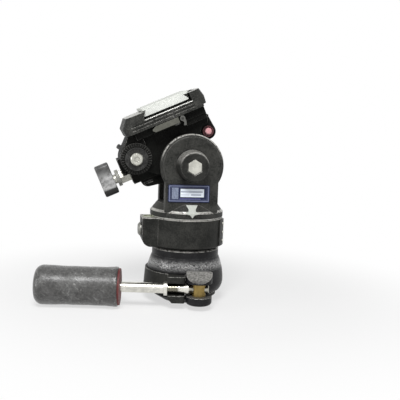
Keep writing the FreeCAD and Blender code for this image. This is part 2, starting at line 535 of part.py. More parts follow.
def tilt_axle():
    axis = ("0", "0", "tilt_axis_z")
    tube("tilt_drum", "head", axis, "Y", "axle_r", "tilt_drum_r", "-fork_half", "fork_half")
    front, back = "(yoke_half+boss_len)", "(yoke_half+rear_boss_len)"
    boss = piece("axle_boss", "head", axis)
    spin(boss, "Y", [(f"-{front}", "axle_r"), ("-yoke_half+boss_seat", "axle_r"),
                     ("-yoke_half+boss_seat", "boss_base_r"), ("-yoke_half", "boss_base_r"),
                     (f"-{front}+boss_edge", "boss_tip_r"), (f"-{front}", "boss_tip_r-boss_edge")])
    cut(boss, "XZ", f"-{front}-1", f"-{front}+head_recess", hexagon("head_af+2*open_gap", turn=30))
    rear = piece("rear_boss", "head", axis)
    spin(rear, "Y", [("yoke_half-boss_seat", "axle_r"), (back, "axle_r"), (back, "boss_tip_r-boss_edge"),
                     (f"{back}-boss_edge", "boss_tip_r"), ("yoke_half", "boss_base_r"),
                     ("yoke_half-boss_seat", "boss_base_r")])
    axle = piece("tilt_axle", "head", axis)
    head_low = f"-{front}+head_recess"
    pad(axle, "XZ", f"{head_low}-head_t", head_low, hexagon("head_af", turn=30))
    pad(axle, "XZ", head_low, f"{back}+axle_nut_t+axle_tail", circle("0", "0", "axle_r"))
    nut = piece("axle_nut", "head", axis)
    pad(nut, "XZ", back, f"{back}+axle_nut_t", hexagon("head_af", turn=30), circle("0", "0", "axle_r"))
    washers = piece("friction_washers", "head", axis)
    for side in ("-1", "1"):
        spin(washers, "Y", box(f"{side}*fork_half", f"{side}*(fork_half-washer_t)", "tilt_drum_r+run_fit",
                               "washer_out"))


# ---------------------------------------------------------------- tilting body


def tilt_body():
    body = piece("tilt_body", "tilt")
    pad(body, "XZ", "-core_half", "core_half", circle("0", "0", "hub_r"))
    pad(body, "XZ", "-core_half", "core_half",
        [("-rosette_x+1", "tray_low"), ("-rosette_x-9.5", "rosette_z+8"), ("-rosette_x-9.5", "rosette_z-2"),
         ("-hub_r", "0"), ("0", "0"), ("ear_x-4", "ear_z-4"), ("ear_x+4.5", "ear_z+12"),
         ("right_step", "top_low"), ("right_step", "tray_low")])
    pad(body, "XZ", "-ear_half", "ear_half", circle("ear_x", "ear_z", "ear_r"))
    pad(body, "XZ", "-ear_half", "ear_half",
        [("ear_x-ear_r", "ear_z"), ("ear_x+ear_r", "ear_z"), ("ear_x+4.5", "ear_z+12"),
         ("ear_x-8", "ear_z+12")])
    pad(body, "XZ", "-arm_half", "arm_half",
        box("-arm_end", "0", "lock_axis_z-arm_half+0.6", "lock_axis_z+arm_half-0.6"))
    pad(body, "XZ", "-arm_half", "arm_half",
        box("-arm_end-5.5", "-arm_end+4", "lock_axis_z+3", "rosette_z+4"))
    pad(body, "XZ", "-arm_half+2", "arm_half-2",
        [("-arm_end+5.2", "3"), ("-arm_end+6", "-0.8"), ("-arm_end+11", "-3.8", "left", "x", "-arm_end+11.5"),
         ("-hub_r", "-6"), ("-hub_r+2", "3")])
    pad(body, "XZ", "-top_half", "top_half", box("-rosette_x+5.6", "right_step", "top_low", "tray_low"))
    pad(body, "XZ", "-pillar_half", "pillar_half", circle("-rosette_x", "rosette_z", "rosette_r"))
    pad(body, "XZ", "-pillar_half", "pillar_half",
        [("-rosette_x+1", "tray_low"), ("-rosette_x-9.5", "rosette_z+7"), ("-rosette_x-9.5", "rosette_z"),
         ("-rosette_x+10", "rosette_z-6"), ("-rosette_x+11", "tray_low")])
    pad(body, "XZ", "-top_half+1", "top_half-1", box("8", "right_step", "top_low-4", "top_low"))
    cut(body, "XZ", "-core_half-1", "core_half+1", circle("0", "0", "tilt_drum_r+run_fit"))
    cut(body, "YZ", "-arm_end-1", "-cotter_end+1", circle("0", "lock_axis_z", "cotter_r+run_fit"))
    cut(body, "XZ", "-pillar_half-1", "pillar_half+1", circle("-rosette_x", "rosette_z", "rosette_bore"))
    cut(body, "XZ", "-ear_half-1", "-ear_half+button_bore", circle("ear_x", "ear_z", "button_r+2*run_fit"))
    cut(body, "XZ", "-arm_half", "arm_half", box("-arm_end+7.3", "-arm_end+14", "-0.9", "0.8"))
    cut(body, "XZ", "-core_half-1", "-ear_half", circle("ear_x", "ear_z", "ear_r"))
    room = "nut_af/2/cos(30)+open_gap"
    cut(body, "YZ", "-arm_end-nut_len", "-arm_end", circle("0", "lock_axis_z", room))


def brake_parts():
    cotter = piece("brake_cotter", "tilt", ("0", "0", "lock_axis_z"))
    pad(cotter, "YZ", "-cotter_start", "-cotter_end", circle("0", "0", "cotter_r"))
    cut(cotter, "XZ", "-cotter_r-1", "cotter_r+1", circle("0", "-lock_axis_z", "tilt_drum_r+2*run_fit"))
    nut = piece("lock_bush", "tilt", ("-arm_end", "0", "lock_axis_z"))
    pad(nut, "YZ", "0", "sleeve_len", circle("0", "0", "cotter_r"))
    pad(nut, "YZ", "-nut_len", "0", hexagon("nut_af", turn=0))
    cut(nut, "YZ", "-nut_len-1", "sleeve_len+1", circle("0", "0", "stem_lock_r+run_fit"))


def three_lobes():
    """The knob's outline: three round lobes joined by wide hollows that run smoothly into them."""
    hollow = "(lobe_reach/2+sqrt((lobe_r+dent_r)^2-0.75*lobe_reach^2))"
    share = "lobe_r/(lobe_r+dent_r)"
    outline = []
    for lobe in (90, 210, 330):
        for turn, middle, at in (("right", lobe - 60, hollow), ("left", lobe, "lobe_reach")):
            beside = lobe - 60 if turn == "right" else lobe + 60
            side, wave = ("y", "sin") if middle in (90, 270) else ("x", "cos")
            x, y = (f"lobe_reach*{part}({lobe})*(1-{share})+{hollow}*{part}({beside})*{share}"
                    for part in ("cos", "sin"))
            outline.append((x, y, turn, side, f"{at}*{wave}({middle})"))
    return outline


def knob():
    seat = ("0", "0", "lock_axis_z")
    body = piece("lock_knob", "tilt", seat)
    pad(body, "YZ", "-knob_out", "-knob_in", three_lobes())
    soften(body, "Fillet", "knob_edge", lambda e: e.BoundBox.XLength < 0.001)
    cut(body, "YZ", "-knob_out+knob_cap", "-knob_in+1", circle("0", "0", "stem_lock_r"))
    stem = piece("knob_stem", "tilt", seat)
    washer_in = "(arm_end+nut_len+face_gap)"
    collar_in = f"({washer_in}+knob_washer_t)"
    spin(stem, "X", [("-knob_out+knob_cap", "0"), ("-cotter_start-face_gap", "0"),
                     ("-cotter_start-face_gap", "stem_lock_r"), (f"-{collar_in}", "stem_lock_r"),
                     (f"-{collar_in}", "shank_r"), ("-knob_in", "shank_r"), ("-knob_in", "stem_lock_r"),
                     ("-knob_out+knob_cap", "stem_lock_r")])
    tube("knob_washer", "tilt", seat, "X", "stem_lock_r", "knob_washer_r", f"-{collar_in}", f"-{washer_in}")


def rosette(name, side):
    """A toothed ring for the pan handle, on the near (-1) or far (1) side."""
    body = piece(name, "tilt", ("-rosette_x", "0", "rosette_z"))
    start = f"{side}*(pillar_half+rosette_t)"
    spin(body, "Y", box(f"{side}*pillar_half", start, "rosette_bore", "rosette_r"))
    top = f"{side}*(pillar_half+rosette_t+tooth_t)"
    ends = (top, start) if side < 0 else (start, top)
    tooth = pad(body, "XZ", *ends, box("tooth_in", "tooth_out", "-tooth_w/2", "tooth_w/2"))
    repeat(body, tooth, "Y_Axis", "teeth")


def rosette_screws():
    seat = ("-rosette_x", "0", "rosette_z")
    ring_low = "(pillar_half+rosette_t)"
    ring_high = f"({ring_low}+clamp_ring_t)"
    tube("clamp_ring", "tilt", seat, "Y", "clamp_ring_in", "clamp_ring_r", f"-{ring_high}", f"-{ring_low}")
    screw = piece("rosette_screw", "tilt", seat)
    head = f"-{ring_high}-face_gap"
    tip = f"{head}-clamp_head_t"
    end = f"{head}+clamp_screw_len"
    spin(screw, "Y", [(tip, "0"), (end, "0"), (end, "clamp_screw_r"), (head, "clamp_screw_r"),
                      (head, "clamp_head_r"), (f"{tip}+0.8", "clamp_head_r"),
                      (tip, "clamp_head_r-0.8")])
    cut(screw, "XZ", f"{tip}-1", f"{tip}+clamp_head_t/2", hexagon("clamp_head_r-0.8"))
    wing = piece("wing_screw", "tilt", seat)
    base = f"{ring_low}+face_gap"
    top = f"({base}+wing_hub_t)"
    end = f"{base}-clamp_screw_len+2"
    spin(wing, "Y", [(end, "0"), (top, "0"), (top, "0.75*wing_hub_r"), (base, "wing_hub_r"),
                     (base, "clamp_screw_r"), (end, "clamp_screw_r")])
    for turn in ("wing_angle", "(wing_angle+180)"):
        along = (f"cos({turn})", f"sin({turn})")
        across = (f"-sin({turn})*wing_t/2", f"cos({turn})*wing_t/2")
        left, right = ([f"wing_reach*{a}{s}0.6*({c})" for a, c in zip(along, across)] for s in "+-")
        pad(wing, "XZ", f"{base}+wing_hub_t/3", f"{top}+wing_hub_t/4",
            [across, left, right, [f"-({c})" for c in across]])


def red_button():
    seat = ("ear_x", "0", "ear_z")
    tube("button_bezel", "tilt", seat, "Y", "button_r+2*run_fit", "bezel_r", "-ear_half-bezel_t", "-ear_half")
    button = piece("red_button", "tilt", seat)
    tip = "-ear_half-button_out"
    spin(button, "Y", [(tip, "0"), (f"{tip}+button_len", "0"), (f"{tip}+button_len", "button_r"),
                       (f"{tip}+0.8", "button_r"), (tip, "button_r-0.8")])


# ---------------------------------------------------------------- platform


def tray():
    body = piece("tray", "tilt")
    nose = f"-plate_left-jaw_fit+{PLATE_SLANT}*(left_top-plate_low-plate_toe)"
    pad(body, "XZ", f"-{TRAY_HALF}", TRAY_HALF,
        [("-tray_left+0.6", "tray_low"), ("right_step", "tray_low"), ("right_step", "step_high"),
         ("tray_right-0.4", "step_high"), ("tray_right", "tray_floor"), ("tray_right-1.8", "right_top"),
         ("right_wall", "right_top"), ("right_wall", "tray_floor"), ("-left_wall", "tray_floor"),
         ("-left_wall", f"plate_low+plate_toe-(left_wall-plate_left-jaw_fit)/({PLATE_SLANT})"),
         (nose, "left_top"), ("-left_top_x", "left_top"), ("-tray_left", "tray_floor-1")])
    soften(body, "Fillet", "tray_corner", lambda e: e.BoundBox.YLength < 0.01
           and (e.BoundBox.XMax < -number("left_top_x") + 0.1 or e.BoundBox.XMin > number("right_step") - 0.1)
           and e.BoundBox.ZLength > 2)
    for k in (0, 1):
        low = f"rib_low+{k}*rib_pitch"
        groove = box(f"-left_top_x+{k}", "right_wall", low, f"{low}+rib_gap")
        cut(body, "XZ", f"-{TRAY_HALF}-1", f"-{TRAY_HALF}+rib_deep", groove)
    cut(body, "YZ", "-left_wall", "right_wall",
        [(f"-{TRAY_HALF}-1", "tray_floor-floor_bevel-1"), (f"-{TRAY_HALF}+floor_bevel+1", "tray_floor+1"),
         (f"-{TRAY_HALF}-1", "tray_floor+1")])
    pad(body, "XY", "tray_floor", "plate_low",
        box("-left_wall", "plate_right", f"-{TRAY_HALF}+seat_in", TRAY_HALF))
    cut(body, "XZ", "-jaw_half-open_gap", "jaw_half+open_gap",
        box("right_wall-3", "jaw_right+jaw_open+open_gap", "jaw_low", "right_top+1"))
    spots = [(f"{a}*tray_screw_x", f"{b}*tray_screw_y") for a in (-1, 1) for b in (-1, 1)]
    cut(body, "XY", "tray_low-1", "plate_low+1", *[circle(x, y, "bolt_r") for x, y in spots])
    cut(body, "XY", "tray_floor-bolt_head_t-open_gap", "plate_low+1",
        *[circle(x, y, "bolt_head_r+run_fit") for x, y in spots])
    cut(body, "XY", "tray_low-1", "tray_floor-1", circle("lever_x", f"-{LEVER_Y}", "lever_pin_r"))


def platform_fittings():
    screws = piece("tray_screws", "tilt")
    spots = [(f"{a}*tray_screw_x", f"{b}*tray_screw_y") for a in (-1, 1) for b in (-1, 1)]
    head_low = "tray_floor-bolt_head_t-open_gap"
    pad(screws, "XY", "tray_low", head_low, *[circle(x, y, "bolt_r") for x, y in spots])
    pad(screws, "XY", head_low, f"{head_low}+bolt_head_t", *[circle(x, y, "bolt_head_r") for x, y in spots])
    jaw = piece("clamp_jaw", "tilt")
    inner = "plate_right+jaw_fit"
    pad(jaw, "XZ", "-jaw_half", "jaw_half",
        [(inner, "jaw_low"), ("jaw_right", "jaw_low"), ("jaw_right", "jaw_high"),
         (f"{inner}-{PLATE_SLANT}*(jaw_high-plate_low-plate_toe)", "jaw_high"),
         (inner, "plate_low+plate_toe")])
    lever = piece("release_lever", "tilt")
    pad(lever, "XZ", f"-{LEVER_Y}-lever_half", f"-{LEVER_Y}+lever_half",
        [("-lever_left", "lever_low+lever_tip"), ("-lever_left+lever_tip", "lever_low"),
         ("lever_right", "lever_low"), ("lever_right", "lever_high"),
         ("-lever_left+2*lever_tip", "lever_high"), ("-lever_left", "lever_high-lever_tip")])
    cut(lever, "XY", "lever_low-1", "lever_high+1", circle("lever_x", f"-{LEVER_Y}", "lever_pin_r+run_fit"))
    pin = piece("lever_pin", "tilt", ("lever_x", f"-{LEVER_Y}", "lever_low"))
    spin(pin, "Z", [("0", "-face_gap-lever_pin_head_t"), ("lever_pin_head_r", "-face_gap-lever_pin_head_t"),
                    ("lever_pin_head_r", "-face_gap"), ("lever_pin_r", "-face_gap"),
                    ("lever_pin_r", "tray_floor-1-lever_low"), ("0", "tray_floor-1-lever_low")])
    catch = piece("safety_catch", "tilt", ("catch_x", "0", "catch_z"))
    front, back = f"-{CATCH_FRONT}", "-top_half-catch_gap"
    pad(catch, "XZ", front, back, circle("0", "0", "catch_r"))
    pad(catch, "XZ", front, back,
        [("-0.6*catch_r", "0"), ("0", "-0.6*catch_tail"), ("-catch_r/2", "-catch_tail"),
         ("catch_r/2", "-catch_tail-0.4"), ("catch_r", "-0.5*catch_tail"), ("0.9*catch_r", "0")])
    cut(catch, "XZ", f"{front}-1", f"{back}+1", circle("0", "0", "catch_pin_r+run_fit"))
    pivot_pin = piece("catch_pin", "tilt", ("catch_x", "0", "catch_z"))
    pad(pivot_pin, "XZ", f"{front}-0.6", "-top_half", circle("0", "0", "catch_pin_r"))


def quick_release_plate():
    """The dovetail block that the jaw holds, and the facing that the camera stands on."""
    body = piece("quick_release_plate", "tilt")
    pad(body, "XZ", "-plate_half", "plate_half",
        [("-plate_left+plate_toe_in", "plate_low"), ("plate_right-plate_toe_in", "plate_low"),
         ("plate_right", "plate_low+plate_toe"), ("plate_right-dovetail", "facing_low"),
         ("-plate_left+dovetail", "facing_low"), ("-plate_left", "plate_low+plate_toe")])
    cut(body, "XY", "plate_low-1", "facing_low+1", circle("0", "0", "camera_hole_r"))
    cut(body, "XY", "plate_low-1", "plate_low+counterbore_deep", circle("0", "0", "counterbore_r"))
    facing = piece("plate_facing", "tilt")
    pad(facing, "XY", "facing_low", "plate_high",
        box("-plate_left", "facing_right", "-plate_half", "plate_half"), circle("0", "0", "camera_hole_r"))
    soften(facing, "Fillet", "plate_corner", lambda e: e.Curve.TypeId == "Part::GeomLine"
           and e.BoundBox.YLength < 0.01 and e.BoundBox.XLength < 0.01)


def write_parts():
    doc.recompute()
    for thing in doc.Objects:
        state = set(thing.State) & {"Invalid", "Error"}
        if state:
            raise RuntimeError(f"{thing.Name} ({thing.Label}) is {state}: {thing.getStatusString()}")
    os.makedirs("parts", exist_ok=True)
    for body in PIECES:
        shape = body.Shape
        if shape.isNull() or not shape.isValid():
            raise RuntimeError(f"{body.Label} has no valid shape")
        shape.exportStep(os.path.join("parts", f"{body.Label}.step"))
        print(f"{body.Label:22s} solids {len(shape.Solids)}  volume {shape.Volume:10.1f}")


def main():
    fill_sheet()
    foot_disc()
    pivot()
    bell_housing()
    clamp_band()
    clamp_fittings()
    handle()
    collar()
    collar_fittings()
    yoke()
    yoke_fittings()
    tilt_axle()
    tilt_body()
    brake_parts()
    knob()
    rosette("rosette_near", -1)
    rosette("rosette_far", 1)
    rosette_screws()
    red_button()
    tray()
    platform_fittings()
    quick_release_plate()
    write_parts()


main()
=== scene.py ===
import math

import bmesh
import bpy
from mathutils import Matrix, Vector


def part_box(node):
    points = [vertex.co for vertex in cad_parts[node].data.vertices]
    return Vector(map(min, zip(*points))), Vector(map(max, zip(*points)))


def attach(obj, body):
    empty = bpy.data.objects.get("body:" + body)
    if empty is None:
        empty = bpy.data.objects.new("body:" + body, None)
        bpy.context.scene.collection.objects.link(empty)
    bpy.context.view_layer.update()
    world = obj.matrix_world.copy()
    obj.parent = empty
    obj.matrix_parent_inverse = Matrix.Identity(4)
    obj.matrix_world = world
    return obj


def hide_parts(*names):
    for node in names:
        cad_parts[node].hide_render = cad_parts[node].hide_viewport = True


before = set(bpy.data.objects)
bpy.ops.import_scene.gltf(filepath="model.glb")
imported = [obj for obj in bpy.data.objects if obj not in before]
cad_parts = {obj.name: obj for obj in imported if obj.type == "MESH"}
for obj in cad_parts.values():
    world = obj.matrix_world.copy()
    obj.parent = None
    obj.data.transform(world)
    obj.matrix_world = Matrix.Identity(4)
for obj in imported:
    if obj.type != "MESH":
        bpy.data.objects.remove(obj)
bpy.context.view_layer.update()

bl_info = {
    "name": "Pan and tilt head",
    "version": (1, 0, 0),
    "blender": (4, 5, 0),
    "location": "View3D > Sidebar > Pan Tilt",
    "description": "Finishes, fine details, lights and camera for a pan and tilt head",
    "category": "Object",
}

# The head at rest. Z is the pan axis. The lock knob and the rosette are placed from the tilt axis.
MM = 0.001
BASE_TURN = math.radians(-9)
TILT_REST = math.radians(24)
TILT_AXIS_Z = 108.5 * MM
ROD_SEAT = Vector((0, -34.5 * MM, 15.7 * MM))
LOCK_AXIS_Z = 11 * MM
ROSETTE = Vector((-37.2, 0, 21.1)) * MM
LEVEL_PLACE = Vector((-30.6, -5.8, 67)) * MM

LOWER = Matrix.Rotation(BASE_TURN, 4, "Z")
ROD = LOWER @ Matrix.Translation(ROD_SEAT)
AXLE = Matrix.Translation((0, 0, TILT_AXIS_Z))
TILT = AXLE @ Matrix.Rotation(-TILT_REST, 4, "Y")
IN_MM = Matrix.Scale(MM, 4)

FRAME_PIXELS = 400
WHITE = (1, 1, 1, 1)


# ---------------------------------------------------------------- shader building


class Tap:
    """One value in a node tree. Arithmetic on it adds Math nodes."""

    def __init__(self, nodes, socket):
        self.nodes, self.socket = nodes, socket

    def __add__(self, other):
        return self.nodes.math("ADD", self, other)

    def __sub__(self, other):
        return self.nodes.math("SUBTRACT", self, other)

    def __rsub__(self, other):
        return self.nodes.math("SUBTRACT", other, self)

    def __mul__(self, other):
        return self.nodes.math("MULTIPLY", self, other)

    def __abs__(self):
        return self.nodes.math("ABSOLUTE", self)

    __radd__, __rmul__ = __add__, __mul__


class Nodes:
    """Adds nodes to one node tree."""

    def __init__(self, tree):
        self.tree = tree

    def find(self, kind):
        """The first node of a kind that the tree holds already."""
        return next(n for n in self.tree.nodes if n.type == kind)

    def feed(self, socket, value):
        """Gives a socket a link or a value of its own."""
        if isinstance(value, Tap):
            self.tree.links.new(value.socket, socket)
        else:
            socket.default_value = value

    def node(self, kind, settings=None, inputs=None, out=0):
        """Adds a node: its settings first, then the values or links of its sockets."""
        made = self.tree.nodes.new("ShaderNode" + kind)
        for name, value in (settings or {}).items():
            setattr(made, name, value)
        for name, value in (inputs or {}).items():
            self.feed(made.inputs[name], value)
        return Tap(self, made.outputs[out])

    def math(self, operation, *values):
        return self.node("Math", {"operation": operation}, dict(enumerate(values)))

    def larger(self, first, second):
        return self.math("MAXIMUM", first, second)

    def ramp(self, value, low, high, start=0.0, end=1.0):
        """A soft step from start to end as the value goes from low to high."""
        return self.node("MapRange", {"interpolation_type": "SMOOTHSTEP"},
                         {0: value, 1: low, 2: high, 3: start, 4: end})

    def bright_rays(self):
        """One or more on camera, glossy and transmission rays, and zero on all others."""
        rays = self.node("LightPath").socket.node
        camera, glossy, through = (Tap(self, rays.outputs[f"Is {kind} Ray"])
                                   for kind in ("Camera", "Glossy", "Transmission"))
        return camera + glossy + through


class Paint(Nodes):
    """Builds one procedural material on a Principled shader, with lengths in millimetres."""

    def __init__(self, name, tint, roughness=0.5, metallic=0.0, **sockets):
        self.material = bpy.data.materials.new(name)
        self.material.use_nodes = True
        super().__init__(self.material.node_tree)
        self.shader = self.find("BSDF_PRINCIPLED")
        self.put("Base Color", (*tint, 1))
        self.put("Roughness", roughness)
        self.put("Metallic", metallic)
        for socket, value in sockets.items():
            self.put(socket.replace("_", " "), value)

    def put(self, socket, value):
        """A value or a link for one of the shader's own sockets."""
        self.feed(self.shader.inputs[socket], value)

    def present(self, socket):
        """What is linked to one of the shader's own sockets so far."""
        return Tap(self, self.shader.inputs[socket].links[0].from_socket)

    def place(self, frame_matrix=None, stretch=(1, 1, 1)):
        """Object coordinates in millimetres, in a frame of the head, each divided by a stretch."""
        where = self.node("TexCoord", out="Object")
        spot, turned, _ = (frame_matrix or Matrix.Identity(4)).decompose()
        scale = tuple(MM * part for part in stretch)
        return self.node("Mapping", {"vector_type": "TEXTURE"},
                         {0: where, "Location": spot, "Rotation": turned.to_euler(), "Scale": scale})

    def axes(self, where):
        """The three numbers of a vector."""
        split = self.node("SeparateXYZ", inputs={0: where}).socket.node
        return [Tap(self, socket) for socket in split.outputs]

    def noise(self, size, detail=3.0, rough=0.55, where=None, warp=0.0):
        """Cloudy values around a half, with clouds of the given size."""
        return self.node("TexNoise", None, {"Vector": where or self.place(), "Scale": 1 / size, "Detail": detail,
                                            "Roughness": rough, "Distortion": warp})

    def inside(self, value, low, high, soft=0.08):
        """One where the value lies between two others."""
        return self.ramp(value, low - soft, low + soft) * self.ramp(value, high - soft, high + soft, 1.0, 0.0)

    def reach(self, across, along):
        """The distance from an axis, from the two numbers square to it."""
        return self.math("SQRT", across * across + along * along)

    def mix(self, share, first, second):
        """A colour between two colours."""
        colours = [c if isinstance(c, Tap) else (*c, 1) for c in (first, second)]
        return self.node("Mix", {"data_type": "RGBA"}, {0: share, 6: colours[0], 7: colours[1]}, out=2)

    def rounded(self, radius):
        """The surface's normal with its edges rounded off."""
        return self.node("Bevel", {"samples": 6}, {"Radius": radius * MM})

    def edges(self, radius, low=0.004, high=0.09):
        """One on the outer edges of a piece, and zero on its flats and in its corners."""
        facing = self.node("NewGeometry", out="Normal")
        agree = self.node("VectorMath", {"operation": "DOT_PRODUCT"}, {0: self.rounded(radius), 1: facing}, out=1)
        return self.ramp(1 - agree, low, high) * self.ramp(self.openness(radius * 2.5), 0.55, 0.85)

    def upward(self, normal=None):
        """How far the surface faces up with the piece at rest, from -1 to 1."""
        normal = normal or self.node("NewGeometry", out="Normal")
        own = self.node("VectorTransform", {"vector_type": "NORMAL", "convert_from": "WORLD",
                                            "convert_to": "OBJECT"}, {0: normal})
        return self.axes(own)[2]

    def openness(self, reach):
        """One in the open, falling to zero deep in a corner."""
        return self.node("AmbientOcclusion", {"samples": 6}, {"Distance": reach * MM}, out="AO")

    def relief(self, height, depth, radius=0.35):
        """Raises the surface by the height, up to the depth, and softens the edges."""
        bumped = self.node("Bump", None, {"Height": height, "Distance": depth * MM, "Strength": 1.0,
                                          "Normal": self.rounded(radius)})
        self.put("Normal", bumped)


def scaled(tint, by):
    """A colour made lighter or darker."""
    return tuple(part * by for part in tint)


def dress(paint, *nodes):
    """Gives a material to CAD nodes, whose meshes stay as they are."""
    for name in nodes:
        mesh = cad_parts[name].data
        mesh.materials.clear()
        mesh.materials.append(paint.material)


# ---------------------------------------------------------------- mesh building


def make_piece(bm, name, paint, body, place):
    """Turns a bmesh drawn in millimetres into a smooth piece that rides on a body."""
    bmesh.ops.remove_doubles(bm, verts=bm.verts, dist=1e-4)
    bmesh.ops.recalc_face_normals(bm, faces=bm.faces)
    bm.transform(place @ IN_MM)
    mesh = bpy.data.meshes.new(name)
    bm.to_mesh(mesh)
    bm.free()
    mesh.materials.append(paint.material)
    for face in mesh.polygons:
        face.use_smooth = True
    piece = bpy.data.objects.new(name, mesh)
    bpy.context.scene.collection.objects.link(piece)
    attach(piece, body)
    return piece


def lathe(outline, axis, steps, spot=(0, 0, 0)):
    """Spins points (along, radius) a full turn about the X or the Z axis through a spot."""
    upright = axis == "Z"
    around = (0, 0, 1) if upright else (1, 0, 0)
    corners = [(r, 0, a) if upright else (a, 0, r) for a, r in outline]
    bm = bmesh.new()
    line = [bm.verts.new(Vector(corner) + Vector(spot)) for corner in corners]
    runs = [bm.edges.new(pair) for pair in zip(line, line[1:])]
    bmesh.ops.spin(bm, geom=line + runs, cent=spot, axis=around, angle=math.tau, steps=steps, use_merge=True)
    return bm


def arc(centre_along, centre_r, radius, start, end, steps):
    """Points (along, radius) on an arc, with angles in degrees."""
    spots = []
    for k in range(steps + 1):
        angle = math.radians(start + (end - start) * k / steps)
        spots.append((centre_along + radius * math.cos(angle), centre_r + radius * math.sin(angle)))
    return spots


def slab(bm, corners, move):
    """Makes a face and extrudes it by a move. Returns the slab's verts."""
    face = bm.faces.new([bm.verts.new(corner) for corner in corners])
    near = list(face.verts)
    grown = bmesh.ops.extrude_face_region(bm, geom=[face])["geom"]
    far = [part for part in grown if isinstance(part, bmesh.types.BMVert)]
    bmesh.ops.translate(bm, vec=move, verts=far)
    return near + far


def flat_rims(bm, verts, axis):
    """The edges between some verts that lie square to an axis, which is 0 for X and 1 for Y."""
    verts = set(verts)
    return [e for e in bm.edges
            if verts.issuperset(e.verts) and abs(e.verts[0].co[axis] - e.verts[1].co[axis]) < 1e-6]


# ---------------------------------------------------------------- settings


def colour(name, about, default):
    return bpy.props.FloatVectorProperty(name=name, description=about, default=default, size=3, min=0, max=1,
                                         subtype="COLOR")


def length(name, about, default):
    return bpy.props.FloatProperty(name=name, description=about, default=default * MM, min=0, unit="LENGTH",
                                   precision=5)


def share(name, about, default):
    return bpy.props.FloatProperty(name=name, description=about, default=default, min=0, max=1, subtype="FACTOR")


def turn(name, about, default):
    return bpy.props.FloatProperty(name=name, description=about, default=math.radians(default), subtype="ANGLE")


class CastingSettings(bpy.types.PropertyGroup):
    black: colour("Paint", "Crackle paint on the castings", (0.009, 0.0095, 0.0085))
    faded: colour("Faded paint", "Paint where it has faded", (0.034, 0.034, 0.031))
    # This colour is also used for the painted highlights on rims that face up.
    bare: colour("Bare metal", "Metal that shows at worn rims", (0.50, 0.49, 0.46))
    grain: length("Paint grain", "Size of the paint's pebbles", 0.75)
    wear: share("Wear", "How far the rims are worn", 0.85)
    bell: colour("Bell", "Blue-black finish of the lower housing", (0.0085, 0.0085, 0.0092))


class HandleSettings(bpy.types.PropertyGroup):
    rubber: colour("Grip", "Rubber of the grip", (0.050, 0.049, 0.047))
    scuffed: colour("Scuffed grip", "Rubber where it is scuffed", (0.12, 0.12, 0.117))
    nickel: colour("Rod", "Plating of the rod", (0.80, 0.785, 0.72))
    ring: colour("Ring", "Dull red ring inside the grip", (0.13, 0.028, 0.027))
    thread_pitch: length("Thread pitch", "From one turn of the thread to the next", 1.25)
    thread_deep: length("Thread depth", "Height of the thread", 0.5)
    wave: length("Grip wave", "How far the grip's outline waves", 0.12)


class MetalSettings(bpy.types.PropertyGroup):
    zinc: colour("Zinc", "Bright screws and nuts", (0.60, 0.595, 0.54))
    dulled: colour("Dulled zinc", "Screws and pins that have lost their shine", (0.26, 0.26, 0.24))
    brass: colour("Brass", "Turned brass pieces", (0.30, 0.215, 0.075))
    machined: colour("Machined metal", "Brake drums", (0.55, 0.55, 0.54))
    lever: colour("Lever", "Release lever", (0.13, 0.13, 0.112))
    plate: colour("Plate", "Quick-release plate", (0.70, 0.715, 0.68))
    facing: colour("Facing", "Non-slip sheet on the plate", (0.63, 0.65, 0.61))
    nylon: colour("Nylon", "Washers and brake pad", (0.68, 0.67, 0.62))


class FittingSettings(bpy.types.PropertyGroup):
    badge: colour("Badge", "Ground of the badge", (0.012, 0.017, 0.046))
    badge_line: colour("Badge line", "Lines printed on the badge", (0.21, 0.235, 0.36))
    panel: colour("Panel", "Blank panel of the badge", (0.80, 0.86, 0.93))
    knob: colour("Knob", "Satin plastic of the knobs", (0.016, 0.016, 0.0155))
    # The colour of the painted highlight on the knobs.
    knob_sheen: colour("Worn knob", "Knob where hands have polished it", (0.38, 0.38, 0.378))
    lobe_reach: length("Lobe reach", "From the lock knob's axis to the middle of a lobe", 11.2)
    lobe_r: length("Lobe radius", "Radius of each lobe of the lock knob", 3.8)
    wing_reach: length("Wing reach", "From the far screw's axis to a wing's tip", 14.4)
    wing_t: length("Wing thickness", "Thickness of each wing", 4.0)
    # The pale pink is a painted highlight on red plastic.
    button: colour("Button", "Faded safety button", (0.68, 0.33, 0.35))
    bezel: colour("Bezel", "Ring around the button", (0.040, 0.008, 0.010))
    fluid: colour("Level fluid", "Fluid of the bubble level", (0.19, 0.22, 0.06))
    bubble_r: length("Bubble", "Radius of the level's bubble", 1.6)


class StageSettings(bpy.types.PropertyGroup):
    azimuth: turn("Azimuth", "Camera's turn to the left of the badge side", 10.24)
    height: turn("Elevation", "Camera's downward look", 7.22)
    roll: turn("Roll", "Camera's roll", 2.1)
    distance: length("Distance", "From the camera to the head", 560)
    aside: length("Aim aside", "Aim to the right of the pan axis", 10.57)
    aim: length("Aim height", "Aim above the floor", 79.83)
    focal: bpy.props.FloatProperty(name="Focal length", description="In pixels of a frame 400 wide", default=700.8)
    lamp: share("Lamps", "Strength of the lamps", 0.62)


# ---------------------------------------------------------------- finishes


